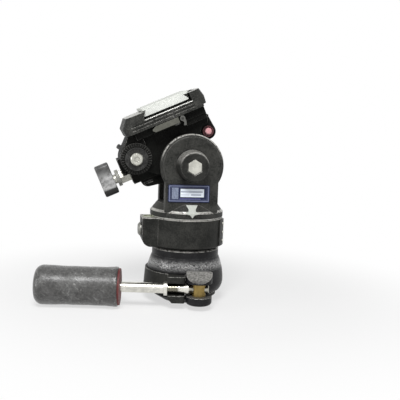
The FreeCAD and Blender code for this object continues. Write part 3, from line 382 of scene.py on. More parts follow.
def crackle(settings, name, tone=1.0, worn=1.0, shine=0.13, rubbed=None):
    """Black crackle paint over cast metal, faded on the flats and worn to the metal at the rims, with a painted
    highlight where the rims face up.

    The rubbed function gives a mask of further places besides the rims that are drawn as bare metal; these are
    painted highlights.
    """
    grain = settings.grain / MM
    speck_tint = (0.13, 0.13, 0.12)
    paint = Paint(name, settings.black, Specular_IOR_Level=shine)
    where = paint.place()
    patches = paint.noise(14, 4, 0.6, where)
    pebbles = paint.noise(grain, 2, 0.5, where, 0.3)
    crust = paint.node("TexVoronoi", {"feature": "SMOOTH_F1"},
                       {"Vector": where, "Scale": 0.55 / grain, "Smoothness": 0.6})
    chips = paint.noise(1.3, 4, 0.7, where)
    # Painted highlight: rims that face up are drawn bare and pale, and rims that face down much less.
    upper = paint.ramp(paint.upward(paint.rounded(0.75)), -0.30, 0.55, 0.10, 1.0)
    chipped = paint.ramp(chips + patches * 0.5, 0.98 - 0.45 * settings.wear, 1.0 - 0.2 * settings.wear)
    rims = paint.edges(0.75) * upper * chipped * worn
    specks = paint.ramp(paint.noise(0.55, 1, 0.5, where), 0.70, 0.76) * paint.ramp(patches, 0.42, 0.6)
    faded = paint.ramp(patches * 0.6 + pebbles * 0.5, 0.40, 0.68)
    base = paint.mix(faded, settings.black, scaled(settings.faded, tone))
    base = paint.mix(specks * 0.4, base, speck_tint)
    if rubbed:
        places = rubbed(paint) * paint.ramp(chips * 0.6 + paint.noise(2.6, 3, 0.6, where) * 0.6, 0.42, 0.60)
        rims = paint.larger(rims, places)
    paint.put("Base Color", paint.mix(rims, base, settings.bare))
    paint.put("Roughness", paint.ramp(pebbles + patches * 0.4, 0.45, 0.95, 0.42, 0.66) - rims * 0.15)
    paint.put("Metallic", rims * 0.75)
    paint.relief(pebbles * 0.7 + crust * 0.5 - rims * 0.6, 0.13, 0.45)
    return paint


def brushed(name, tint, roughness, streaks=(1, 1, 1), depth=0.02, corner_shade_strength=0.5, where=None, grain=0.5):
    """Bright metal with fine streaks, dull patches and painted shade in its corners."""
    corner_shade_tint = (0.05, 0.047, 0.04)
    paint = Paint(name, tint, roughness, 1.0)
    fine = paint.noise(grain, 4, 0.65, paint.place(where, streaks))
    dull = paint.noise(5, 3, 0.6)
    # Painted shade: ambient occlusion makes the metal darker and less metallic deep in corners.
    corner_shade = paint.ramp(paint.openness(1.6), 0.35, 0.85, corner_shade_strength, 0.0)
    shade = paint.mix(paint.ramp(dull + fine * 0.4, 0.5, 0.9), tint, scaled(tint, 0.72))
    paint.put("Base Color", paint.mix(corner_shade, shade, corner_shade_tint))
    paint.put("Roughness", paint.ramp(fine + dull * 0.5, 0.4, 1.0, roughness * 0.75, roughness * 1.45))
    paint.put("Metallic", 1 - corner_shade * 0.6)
    paint.relief(fine, depth, 0.25)
    return paint


def moulded(name, tint, roughness, worn=None, depth=0.04, grain=0.45, shine=0.3):
    """Moulded plastic or rubber, paler where it is rubbed."""
    paint = Paint(name, tint, roughness, Specular_IOR_Level=shine)
    fine = paint.noise(grain, 3, 0.6)
    clouds = paint.noise(7, 3, 0.55)
    scuffs = paint.noise(1.1, 5, 0.7, paint.place(None, (0.5, 1.0, 2.4)))
    rubbed = paint.ramp(clouds * 0.55 + scuffs * 0.55, 0.50, 0.68)
    rubbed = rubbed * 0.7 + paint.edges(0.8) * 0.5
    pale = worn or tuple(min(1.0, part * 1.5 + 0.02) for part in tint)
    paint.put("Base Color", paint.mix(paint.ramp(rubbed, 0.0, 1.0), tint, pale))
    paint.put("Roughness", paint.ramp(fine + clouds * 0.5, 0.45, 1.0, roughness - 0.08, roughness + 0.12))
    paint.relief(fine * 0.6 + scuffs * 0.4, depth, 0.4)
    return paint


# ---------------------------------------------------------------- operators


class PANTILT_OT_castings(bpy.types.Operator):
    """Black crackle paint on the collar, yoke, tilting body, tray, clamp band and foot"""

    bl_idname = "pantilt.castings"
    bl_label = "Castings"

    def execute(self, context):
        settings = context.scene.pantilt_castings
        dress(crackle(settings, "collar_paint", rubbed=self.collar_rim), "collar")
        dress(crackle(settings, "yoke_paint", 1.35, worn=0.5, rubbed=self.yoke_rims), "yoke")
        # Painted shade: the tilting body gets a much darker copy of the crackle paint, for the shade it sits in
        # under the tray.
        dress(crackle(settings, "body_paint_with_painted_shade", 0.15, worn=0.6, shine=0.04), "tilt_body")
        dress(crackle(settings, "band_paint", 0.9, worn=0.8), "clamp_band")
        dress(crackle(settings, "foot_paint", 0.8), "foot_disc")
        self.tray(settings)
        return {"FINISHED"}

    def collar_rim(self, paint):
        """Painted highlight on the top rim of the collar, where the yoke's ring turns over it, drawn as bare
        metal.
        """
        low, high = 66.5, 67.6
        return paint.inside(paint.axes(paint.place())[2], low, high, 0.15) * 0.7

    def yoke_rims(self, paint):
        """Painted highlights drawn as bare metal: the ring's top edge with the foot of the flare where it faces
        up, and the bevel round the top of each cheek.
        """
        bevel_in, bevel_out, cheek_face, ring_low, ring_high = 23.5, 24.7, 20.4, -36.7, -34.9
        x, y, z = paint.axes(paint.place(AXLE))
        bevel = paint.inside(paint.reach(x, z), bevel_in, bevel_out, 0.12)
        bevel = bevel * paint.ramp(abs(y), cheek_face, cheek_face + 0.3) * paint.ramp(z, 2, 15)
        ring = paint.inside(z, ring_low, ring_high, 0.3) * paint.ramp(paint.upward(), 0.2, 0.5)
        return paint.larger(bevel * 0.9, ring)

    def tray(self, settings):
        """The tray's floor is machined bright, and its tower tops, which face up, get a painted highlight."""
        left, right, low, high, side, tops = -20.7, 18.1, 45.6, 46.5, -22, 50.6
        machined = (0.60, 0.60, 0.57)
        paint = crackle(settings, "tray_paint", 1.5, worn=0.55)
        x, y, z = paint.axes(paint.place(TILT))
        up = paint.upward()
        floor = paint.inside(x, left, right, 0.05) * paint.inside(z, low, high, 0.1)
        floor = floor * paint.ramp(y, side, side - 2) * paint.ramp(up, 0.28, 0.55)
        # Painted highlight on the tower tops that face up, broken up by noise.
        rubbed = paint.ramp(up, 0.50, 0.80) * paint.ramp(z, tops, tops + 0.8)
        rubbed = rubbed * paint.ramp(paint.noise(3, 4, 0.65), 0.30, 0.52)
        bare = paint.larger(floor, rubbed * 0.85)
        paint.put("Base Color", paint.mix(bare, paint.present("Base Color"), machined))
        paint.put("Roughness", paint.present("Roughness") - bare * 0.14)
        paint.put("Metallic", paint.larger(paint.present("Metallic"), bare * 0.6))
        dress(paint, "tray")


class PANTILT_OT_bell(bpy.types.Operator):
    """Blue-black satin finish of the bell housing, with a painted highlight band, and worn rims with painted
    highlights where they face up
    """

    bl_idname = "pantilt.bell"
    bl_label = "Bell housing"

    def execute(self, context):
        settings = context.scene.pantilt_castings
        tint, speck_tint = settings.bell, (0.16, 0.165, 0.17)
        painted_sheen_tint, painted_sheen_speck_tint = (0.25, 0.25, 0.25), (0.62, 0.62, 0.60)
        paint = Paint("bell_finish", tint, Specular_IOR_Level=0.12, Coat_Roughness=0.3)
        turned = paint.noise(0.7, 3, 0.6, paint.place(None, (4, 4, 0.5)))
        specks = paint.noise(0.8, 3, 0.65)
        patches = paint.noise(12, 4, 0.6)
        x, y, z = paint.axes(paint.place(LOWER))
        # The band holds a painted highlight, and it also sets the glossy coat.
        polished = self.band(paint, z, specks)
        body = paint.mix(paint.ramp(patches + specks * 0.5, 0.55, 0.95), tint, scaled(tint, 1.9))
        body = paint.mix(paint.ramp(specks, 0.66, 0.74) * 0.4, body, speck_tint)
        # Painted highlight: the band is made pale, with paler specks.
        body = paint.mix(polished * 0.55, body, painted_sheen_tint)
        body = paint.mix(polished * paint.ramp(specks, 0.50, 0.62) * 0.55, body, painted_sheen_speck_tint)
        rims = paint.edges(0.8) * paint.ramp(paint.noise(1.2, 4, 0.7) + patches * 0.4, 0.62, 0.82)
        # Painted highlight: worn rims that face up are made bare and pale much more than those that face down.
        rims = rims * paint.ramp(paint.upward(paint.rounded(0.8)), -0.2, 0.5, 0.1, 1.0)
        rims = paint.larger(rims, self.shoulder(paint, z) * 0.75)
        rims = paint.larger(rims, self.facet(paint, x, y, z) * 0.72)
        paint.put("Coat Weight", polished)
        paint.put("Base Color", paint.mix(rims, body, settings.bare))
        paint.put("Roughness", paint.ramp(specks + turned * 0.5, 0.5, 1.0, 0.24, 0.50))
        paint.put("Metallic", rims * 0.6)
        paint.relief(specks * 0.8 + turned * 0.2, 0.10, 0.5)
        dress(paint, "bell_housing")
        return {"FINISHED"}

    def band(self, paint, z, specks):
        """The band round the bell's shoulder that gets a painted, speckled highlight and a glossy coat."""
        low, high = 28.5, 33.5
        broken = paint.ramp(specks + paint.noise(1.7, 4, 0.7) * 0.8, 0.66, 1.0)
        return paint.inside(z, low, high, 2.6) * broken

    def shoulder(self, paint, z):
        """Painted highlight on the rim under the collar, broken up by noise."""
        low, high = 41.8, 42.9
        return paint.inside(z, low, high, 0.2) * paint.ramp(paint.noise(2.2, 3, 0.6), 0.36, 0.56)

    def facet(self, paint, x, y, z):
        """The upper face of the barrel that holds the handle's nut, machined bare, and made darker towards its
        bottom as painted shade.
        """
        left, right, front, back, low = 0.5, 22.5, -46, -29.5, 21.5
        face = paint.inside(x, left, right, 0.3) * paint.inside(y, front, back, 0.5)
        face = face * paint.ramp(paint.upward(), 0.5, 0.7)
        face = face * paint.ramp(paint.noise(1.6, 4, 0.7), 0.30, 0.66, 0.25, 1.0)
        return face * paint.ramp(z, low, low + 3, 0.3, 1.0)


class PANTILT_OT_handle(bpy.types.Operator):
    """Nickel rod with its thread, flange, rubber grip and red ring"""

    bl_idname = "pantilt.handle"
    bl_label = "Handle"

    def execute(self, context):
        settings = context.scene.pantilt_handle
        nickel = brushed("rod_plating", settings.nickel, 0.16, (9, 1, 1), 0.005, 0.3, ROD, 0.9)
        self.tarnish(nickel)
        dress(nickel, "handle_rod", "handle_flange")
        dress(moulded("grip_liner", (0.35, 0.34, 0.31), 0.5), "grip_core")
        dress(moulded("ring_plastic", settings.ring, 0.5, (0.24, 0.075, 0.07)), "grip_ring")
        self.thread(settings, nickel)
        self.sleeve(settings)
        return {"FINISHED"}

    def tarnish(self, paint):
        """Oily muck in the thread, and a dull end beyond the nut."""
        thread_start, thread_end, nut_end, oily = -12.6, -4.6, 3.5, (0.13, 0.12, 0.075)
        along = paint.axes(paint.place(ROD))[0]
        dull = paint.inside(along, thread_start, thread_end, 0.4) * 0.75
        dull = dull + paint.ramp(along, nut_end, nut_end + 1) * 0.6
        paint.put("Base Color", paint.mix(dull, paint.present("Base Color"), oily))

    def thread(self, settings, paint):
        """The ridge that winds round the rod between its shoulder and the cone."""
        pitch, deep, root = settings.thread_pitch / MM, settings.thread_deep / MM, 3.15
        start, end, steps = -12.3, -4.2, 40
        turns = (end - start) / pitch
        section = [(-0.36, 0), (0, deep), (0.36, 0), (0, -0.25)]
        bm = bmesh.new()
        ridge = bm.faces.new([bm.verts.new((start + a, 0, root + r)) for a, r in section])
        made = bmesh.ops.spin(bm, geom=[ridge], cent=(0, 0, 0), axis=(1, 0, 0), dvec=(pitch / steps, 0, 0),
                              angle=math.tau * turns, steps=round(steps * turns))
        if not made["geom_last"]:
            raise RuntimeError("the thread wasn't wound")
        make_piece(bm, "rod_thread", paint, "handle", ROD)

    def sleeve(self, settings):
        """The rubber sleeve: a rounded far end, a swollen lip and a faint wave along it."""
        inner, outer, lip, waist, full, round_r, core_r = -49.8, -112.6, 15.4, 14.9, 15.3, 6.0, 8.1
        outline = [(outer, 0), (outer, 3), (outer, 6)] + arc(outer + round_r, full - round_r, round_r, 180, 90, 8)
        outline += [(outer + round_r + 3 + k * 4.0, full - 0.4 * min(1, k / 3)) for k in range(10)]
        outline += [(inner - 9, waist), (inner - 6, waist + 0.35), (inner - 3.6, lip - 0.15), (inner - 2.2, lip),
                    (inner - 0.9, lip - 0.1), (inner - 0.15, lip - 0.5), (inner, lip - 1.1), (inner, core_r)]
        bm = lathe(outline, "X", 88)
        wave = settings.wave / MM
        for vert in bm.verts:
            along, reach = vert.co.x, math.hypot(vert.co.y, vert.co.z)
            if reach > core_r + 0.1 and along < inner - 0.5:
                swell = math.sin(along * 0.37) * 0.6 + math.sin(along * 0.83 + 1.3) * 0.4
                angle = math.atan2(vert.co.z, vert.co.y)
                swell = (swell + 0.5 * math.sin(2 * angle + along * 0.05)) * wave - wave * 1.6
                vert.co.y += vert.co.y / reach * swell
                vert.co.z += vert.co.z / reach * swell
        sleeve = make_piece(bm, "grip_sleeve", self.rubber(settings), "handle", ROD)
        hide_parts("handle_grip")

    def rubber(self, settings):
        """Worn rubber: pale scuffs, slanting scratches and a fine pebble."""
        tint, scuffed = settings.rubber, settings.scuffed
        pale, dark, scratched = (0.17, 0.17, 0.165), (0.024, 0.024, 0.023), (0.30, 0.30, 0.29)
        paint = Paint("grip_surface", tint, Specular_IOR_Level=0.4, Coat_Roughness=0.2)
        scratches = self.scratches(paint, 38, 1.7)
        crossed = self.scratches(paint, -52, 1.5)
        clouds = paint.noise(9, 4, 0.6, paint.place(ROD))
        mottled = paint.noise(1.5, 4, 0.75, paint.place(ROD))
        fine = paint.noise(0.35, 2, 0.5)
        lines = paint.ramp(scratches, 0.57, 0.66) + paint.ramp(crossed, 0.60, 0.68) * 0.7
        rubbed = paint.ramp(clouds, 0.40, 0.66)
        base = paint.mix(rubbed * 0.6, tint, scuffed)
        base = paint.mix(paint.ramp(mottled, 0.52, 0.70) * 0.7, base, pale)
        base = paint.mix(paint.ramp(mottled, 0.48, 0.36) * 0.8, base, dark)
        base = paint.mix(paint.ramp(lines * (0.35 + rubbed), 0.0, 1.2) * 0.75, base, scratched)
        base = paint.mix(paint.edges(1.2) * 0.35, base, scuffed)
        paint.put("Base Color", base)
        paint.put("Roughness", paint.ramp(clouds + fine * 0.4, 0.45, 0.95, 0.22, 0.38))
        paint.put("Coat Weight", paint.ramp(lines + clouds * 0.6, 0.2, 0.9, 0.3, 1.0))
        paint.relief(fine * 0.4 - lines * 1.3 + mottled * 1.6 + clouds * 0.3, 0.13, 0.5)
        return paint

    def scratches(self, paint, slant, size):
        """Long clouds that slant across the grip by an angle in degrees."""
        turned = ROD @ Matrix.Rotation(math.radians(slant), 4, "Y")
        return paint.noise(size, 4, 0.7, paint.place(turned, (5, 1.5, 0.8)))


class PANTILT_OT_clamp(bpy.types.Operator):
    """Brass, zinc, steel and plastic of the nuts, pins, screws, drums, bushes and washers"""

    bl_idname = "pantilt.clamp"
    bl_label = "Clamp and bushes"

    def execute(self, context):
        settings = context.scene.pantilt_metals
        brass = brushed("turned_brass", settings.brass, 0.34, (0.4, 0.4, 5), 0.03, 0.6)
        dress(brass, "brass_nut", "pivot_bush", "brake_cotter")
        steel = brushed("zinc_plating", settings.zinc, 0.24, corner_shade_strength=0.55)
        dress(steel, "tripod_bush", "pivot_stud", "pivot_nut", "pivot_washer", "collar_bolts", "pan_retainer",
              "pan_retaining_screw", "tilt_axle", "axle_nut", "rosette_screw", "tray_screws", "lock_bush")
        dulled = brushed("dulled_zinc", settings.dulled, 0.4, depth=0.03, corner_shade_strength=0.6)
        dress(dulled, "band_pin", "clamp_jaw", "pan_lock_screw")
        black_pins = moulded("blackened_pins", (0.018, 0.018, 0.017), 0.4, (0.07, 0.07, 0.065))
        dress(black_pins, "lever_pin", "catch_pin")
        drum = brushed("turned_drum", settings.machined, 0.3, (3, 3, 0.4), 0.03)
        dress(drum, "brake_drum", "tilt_drum")
        nylon = moulded("nylon", settings.nylon, 0.45, depth=0.02)
        dress(nylon, "thrust_washer", "pan_washer", "pan_brake_pad", "friction_washers")
        dress(moulded("washer_plastic", (0.22, 0.22, 0.20), 0.4, (0.42, 0.42, 0.39)), "knob_washer")
        return {"FINISHED"}


class PANTILT_OT_bosses(bpy.types.Operator):
    """Crackle paint on the bosses of the tilt axle"""

    bl_idname = "pantilt.bosses"
    bl_label = "Axle bosses"

    def execute(self, context):
        settings = context.scene.pantilt_castings
        dress(crackle(settings, "boss_paint", 0.9, rubbed=self.cone), "axle_boss", "rear_boss")
        return {"FINISHED"}

    def cone(self, paint):
        """Painted highlight on the upper half of each boss's taper, drawn as bare metal."""
        tip_r, root_r = 10.7, 12.6
        x, _, z = paint.axes(paint.place(AXLE))
        return paint.inside(paint.reach(x, z), tip_r, root_r, 0.1) * paint.ramp(z, 0, 9) * 0.75


class PANTILT_OT_level(bpy.types.Operator):
    """Bubble level on the collar: rim, fluid, bubble and its ring"""

    bl_idname = "pantilt.level"
    bl_label = "Bubble level"

    def execute(self, context):
        settings = context.scene.pantilt_fittings
        self.fluid(settings)
        rim = moulded("level_rim_plastic", (0.30, 0.31, 0.24), 0.4, (0.5, 0.5, 0.44))
        dress(rim, "level_ring")
        place, sunk = Matrix.Translation(LEVEL_PLACE), -0.12
        self.bubble(settings, place, sunk)
        self.mark(place, sunk)
        return {"FINISHED"}

    def fluid(self, settings):
        """Olive fluid, paler in places."""
        paint = Paint("level_fluid", settings.fluid, 0.08, Coat_Weight=0.6)
        depth = paint.noise(3, 2, 0.5)
        paint.put("Base Color", paint.mix(paint.ramp(depth, 0.35, 0.65), settings.fluid, (0.27, 0.31, 0.11)))
        paint.relief(depth, 0.02, 0.2)
        dress(paint, "level_vial")

    def bubble(self, settings, place, sunk):
        """A flat dome, a little off the level's middle."""
        size, high = settings.bubble_r / MM, 0.28
        paint = Paint("bubble_skin", (0.55, 0.58, 0.38), 0.05, Coat_Weight=1.0)
        shade = paint.noise(0.8, 2, 0.5)
        paint.put("Base Color", paint.mix(shade, (0.45, 0.48, 0.28), (0.62, 0.65, 0.46)))
        angles = [math.radians(a) for a in range(0, 90, 10)]
        dome = [(high * math.sin(a), size * math.cos(a)) for a in angles]
        bm = lathe([(-0.02, size * 1.02)] + dome + [(high, 0)], "Z", 40, (0.9, -0.6, sunk))
        make_piece(bm, "level_bubble", paint, "turret", place)

    def mark(self, place, sunk):
        """The ring printed on the level's face."""
        inner, outer, high = 2.1, 2.35, 0.035
        paint = Paint("level_mark_ink", (0.02, 0.02, 0.018), 0.4)
        paint.put("Roughness", paint.ramp(paint.noise(0.5), 0.3, 0.7, 0.3, 0.5))
        outline = [(-0.02, inner), (high, inner), (high, outer), (-0.06, outer), (-0.02, inner)]
        make_piece(lathe(outline, "Z", 48, (0, 0, sunk)), "level_mark", paint, "turret", place)


class PANTILT_OT_badge(bpy.types.Operator):
    """Printed badge with a plain panel, the index pointer and the riveted strip"""

    bl_idname = "pantilt.badge"
    bl_label = "Badge and index"

    def execute(self, context):
        self.print_badge(context.scene.pantilt_fittings)
        strip = moulded("strip_finish", (0.016, 0.016, 0.015), 0.42, (0.06, 0.06, 0.056), 0.03, shine=0.2)
        dress(strip, "collar_strip")
        dress(moulded("index_paint", (0.46, 0.48, 0.44), 0.42, (0.58, 0.60, 0.55), 0.03), "index_pointer")
        dress(brushed("rivet_metal", context.scene.pantilt_metals.zinc, 0.3, corner_shade_strength=0.7), "strip_screws")
        return {"FINISHED"}

    def print_badge(self, settings):
        """A dark blue plate with two border lines, a block at the left, and a pale panel with plain bars."""
        low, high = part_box("badge")
        mid, half = (low + high) / 2 / MM, (high - low) / 2 / MM
        paint = Paint("badge_print", settings.badge, 0.34, Specular_IOR_Level=0.2)
        x, _, z = paint.axes(paint.place(Matrix.Translation((mid.x * MM, 0, mid.z * MM))))

        def patch(left, right, bottom, top, soft_x=0.1, soft_z=0.1):
            return paint.inside(x, left, right, soft_x) * paint.inside(z, bottom, top, soft_z)

        inset = paint.larger(abs(x) - half.x, abs(z) - half.z) * -1
        line = paint.inside(inset, 0.75, 1.35, 0.12)
        inner = paint.inside(inset, 1.9, 2.25, 0.1)
        panel = patch(-6.6, 11.6, -2.7, 3.6)
        bars = patch(-6.4, 10.6, 0.95, 1.75, 0.15, 0.12)
        bars = bars + patch(1.6, 9.4, -1.35, -0.55, 0.15, 0.12)
        bars = bars + patch(-6.4, 0.2, -1.15, -0.85, 0.15)
        block = patch(-13.2, -8.2, -4.2, 4.4)
        foot = patch(-7.2, 9.0, -4.6, -3.6)
        worn = paint.noise(1.2, 4, 0.7)
        made = paint.mix(paint.ramp(worn, 0.35, 0.7), settings.badge, scaled(settings.badge, 1.5))
        for where, tint in (
                (line * 0.9, settings.badge_line),
                (inner * 0.35, settings.badge_line),
                (block * (0.35 + paint.ramp(worn, 0.4, 0.6) * 0.2), (0.42, 0.48, 0.62)),
                (panel, settings.panel),
                (bars * panel * 0.75, (0.10, 0.12, 0.22)),
                (foot * 0.5, (0.16, 0.16, 0.36)),
                (paint.edges(0.5) * 0.6, (0.012, 0.014, 0.03))):
            made = paint.mix(where, made, tint)
        paint.put("Base Color", made)
        paint.put("Roughness", paint.ramp(worn, 0.3, 0.8, 0.22, 0.42))
        paint.relief(line * 0.5 + panel * 0.4 + worn * 0.1, 0.05, 0.3)
        dress(paint, "badge")


class PANTILT_OT_knobs(bpy.types.Operator):
    """Three-lobed lock knob with its stem, and the winged far screw"""

    bl_idname = "pantilt.knobs"
    bl_label = "Knobs"

    def execute(self, context):
        settings = context.scene.pantilt_fittings
        wing_plastic = self.plastic_with_painted_sheen(settings, "wing_plastic", ROSETTE.z / MM, 0.4)
        knob_plastic = self.plastic_with_painted_sheen(settings, "knob_plastic", LOCK_AXIS_Z / MM, 1.0)
        self.lobed_knob(settings, knob_plastic)
        self.wings(settings, wing_plastic)
        dress(brushed("stem_steel", context.scene.pantilt_metals.zinc, 0.28, where=TILT), "knob_stem")
        return {"FINISHED"}

    def plastic_with_painted_sheen(self, settings, name, middle, worn):
        """Dark plastic with a painted highlight on the side that shows at rest, from just above its lower edge and
        fading upwards, broken by clouds, and paler edges.
        """
        paint = Paint(name, settings.knob, Specular_IOR_Level=0.25)
        z = paint.axes(paint.place(TILT))[2] - middle
        clouds = paint.noise(5, 3, 0.6)
        fine = paint.noise(0.6, 3, 0.65)
        # Painted highlight: full just above the lower edge of the shown side, fading towards the top, none below.
        reach = paint.ramp(z, -5.0, -2.6) * paint.ramp(z, 1, 11, 1.0, 0.25)
        rubbed = reach * paint.ramp(clouds + fine * 0.35, 0.46, 0.82, 0.35, 1.0)
        pale = paint.larger(paint.edges(0.8) * 0.5, rubbed) * worn
        paint.put("Base Color", paint.mix(pale, settings.knob, settings.knob_sheen))
        paint.put("Roughness", paint.ramp(fine + clouds * 0.4, 0.45, 0.95, 0.22, 0.42))
        paint.relief(fine * 0.6 + clouds * 0.2, 0.05, 0.4)
        return paint

    def lobed_knob(self, settings, paint):
        """Three round lobes joined by hollows, with rounded rims and a shallow dish in the outer face."""
        reach, lobe, dent = settings.lobe_reach / MM, settings.lobe_r / MM, 12.0
        outer_end, inner_end, rim_r = -69.5, -58.5, 1.1
        far = reach / 2 + math.sqrt((lobe + dent) ** 2 - 0.75 * reach ** 2)
        swing = math.degrees(math.atan2(far * math.sin(math.pi / 3), far / 2 - reach))
        bend = math.degrees(math.atan2(reach * math.sin(math.pi / 3), far - reach / 2))
        spots = []
        for at in (90, 210, 330):
            round_lobe = (at, reach, lobe, at - swing, at + swing, 16)
            hollow = (at + 60, far, dent, at + 240 + bend, at + 240 - bend, 14)
            for middle, away, radius, first, last, steps in (round_lobe, hollow):
                centre = [away * wave(math.radians(middle)) for wave in (math.cos, math.sin)]
                spots += arc(*centre, radius, first, last, steps)[:-1]
        bm = bmesh.new()
        verts = slab(bm, [(outer_end, y, z) for y, z in spots], (inner_end - outer_end, 0, 0))
        rims = flat_rims(bm, verts, 0)
        bmesh.ops.bevel(bm, geom=rims, offset=rim_r, segments=4, profile=0.5, affect="EDGES", material=-1)
        caps = sorted(bm.faces, key=lambda f: -f.calc_area())[:2]
        bmesh.ops.inset_individual(bm, faces=caps, thickness=0.12)
        outer = min(caps, key=lambda f: f.calc_center_median().x)
        for thickness, depth in ((1.2, 0), (0.35, -0.35), (0.12, 0)):
            bmesh.ops.inset_individual(bm, faces=[outer], thickness=thickness, depth=depth)
        place = TILT @ Matrix.Translation((0, 0, LOCK_AXIS_Z))
        knob = make_piece(bm, "lobed_knob", paint, "lock_knob", place)
        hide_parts("lock_knob")

    def wings(self, settings, paint):
        """The far screw: a turned hub and stem, and two rounded paddles."""
        base, hub_high, stem_end, hub_r, stem_r = 18.5, 27.5, 6.5, 6.0, 3.0
        paddle_high, root, bulb, rim_r, rest_turn = 25.2, 2.6, 4.2, 1.2, -125
        reach, thick = settings.wing_reach / MM, settings.wing_t / MM
        place = TILT @ Matrix.Translation(ROSETTE) @ Matrix.Rotation(-math.pi / 2, 4, "X")
        bm = lathe([(stem_end, 0), (stem_end, stem_r - 0.4), (stem_end + 0.4, stem_r), (base, stem_r),
                    (base, hub_r - 0.5), (base + 0.5, hub_r), (hub_high - 0.8, hub_r - 1.2),
                    (hub_high, hub_r - 2.2), (hub_high, 0)], "Z", 48)
        outline = [(root, paddle_high + 2.0), (root, paddle_high - 3.6)]
        outline += arc(reach - bulb, paddle_high, bulb, -110, 110, 16)
        for side in (rest_turn, rest_turn + 180):
            verts = slab(bm, [(x, -thick / 2, z) for x, z in outline], (0, thick, 0))
            rims = flat_rims(bm, verts, 1)
            turned = Matrix.Rotation(math.radians(side), 3, "Z")
            bmesh.ops.rotate(bm, verts=verts, cent=(0, 0, 0), matrix=turned)
            bmesh.ops.bevel(bm, geom=rims, offset=rim_r, segments=3, profile=0.5, affect="EDGES", material=-1)
        screw = make_piece(bm, "winged_screw", paint, "wing_screw", place)
        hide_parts("wing_screw")


class PANTILT_OT_rosettes(bpy.types.Operator):
    """Toothed rosettes of the pan handle's seat and their clamp ring"""

    bl_idname = "pantilt.rosettes"
    bl_label = "Rosettes"

    def execute(self, context):
        settings = context.scene.pantilt_castings
        dress(crackle(settings, "rosette_paint", 0.4, worn=0.2), "rosette_near", "rosette_far")
        ring = moulded("clamp_ring_finish", (0.012, 0.012, 0.0115), 0.38, (0.07, 0.07, 0.067), 0.03, shine=0.2)
        dress(ring, "clamp_ring")
        return {"FINISHED"}


class PANTILT_OT_button(bpy.types.Operator):
    """Faded red safety button in its dark bezel"""

    bl_idname = "pantilt.button"
    bl_label = "Safety button"

    def execute(self, context):
        settings = context.scene.pantilt_fittings
        # Painted highlight: the button is pale pink, paler still at its edges, in place of red plastic with a
        # highlight on it.
        dress(moulded("button_plastic", settings.button, 0.3, (0.78, 0.52, 0.54), 0.02), "red_button")
        dress(moulded("bezel_plastic", settings.bezel, 0.4, (0.16, 0.05, 0.055), 0.02), "button_bezel")
        return {"FINISHED"}


class PANTILT_OT_platform(bpy.types.Operator):
    """Quick-release plate with its facing, the release lever and the safety catch"""

    bl_idname = "pantilt.platform"
    bl_label = "Platform"

    def execute(self, context):
        settings = context.scene.pantilt_metals
        self.plate(settings)
        dress(moulded("facing_rubber", settings.facing, 0.6, (0.74, 0.75, 0.71), 0.06, 0.8), "plate_facing")
        dress(brushed("lever_metal", settings.lever, 0.42, (5, 1, 1), 0.03, 0.4, TILT), "release_lever")
        dress(brushed("catch_metal", (0.14, 0.14, 0.13), 0.34, corner_shade_strength=0.4, where=TILT), "safety_catch")
        return {"FINISHED"}

    def plate(self, settings):
        """Satin metal, streaked from front to back, with darker patches."""
        paint = Paint("plate_satin", settings.plate, 0.42, 0.35)
        fine = paint.noise(0.5, 4, 0.65, paint.place(TILT, (1, 9, 1)))
        dull = paint.noise(6, 4, 0.6)
        patches = paint.ramp(fine * 0.5 + dull, 0.55, 0.95)
        paint.put("Base Color", paint.mix(patches, settings.plate, scaled(settings.plate, 0.8)))
        paint.put("Roughness", paint.ramp(fine + dull * 0.4, 0.4, 1.0, 0.34, 0.52))
        paint.relief(fine, 0.02, 0.3)
        dress(paint, "quick_release_plate")


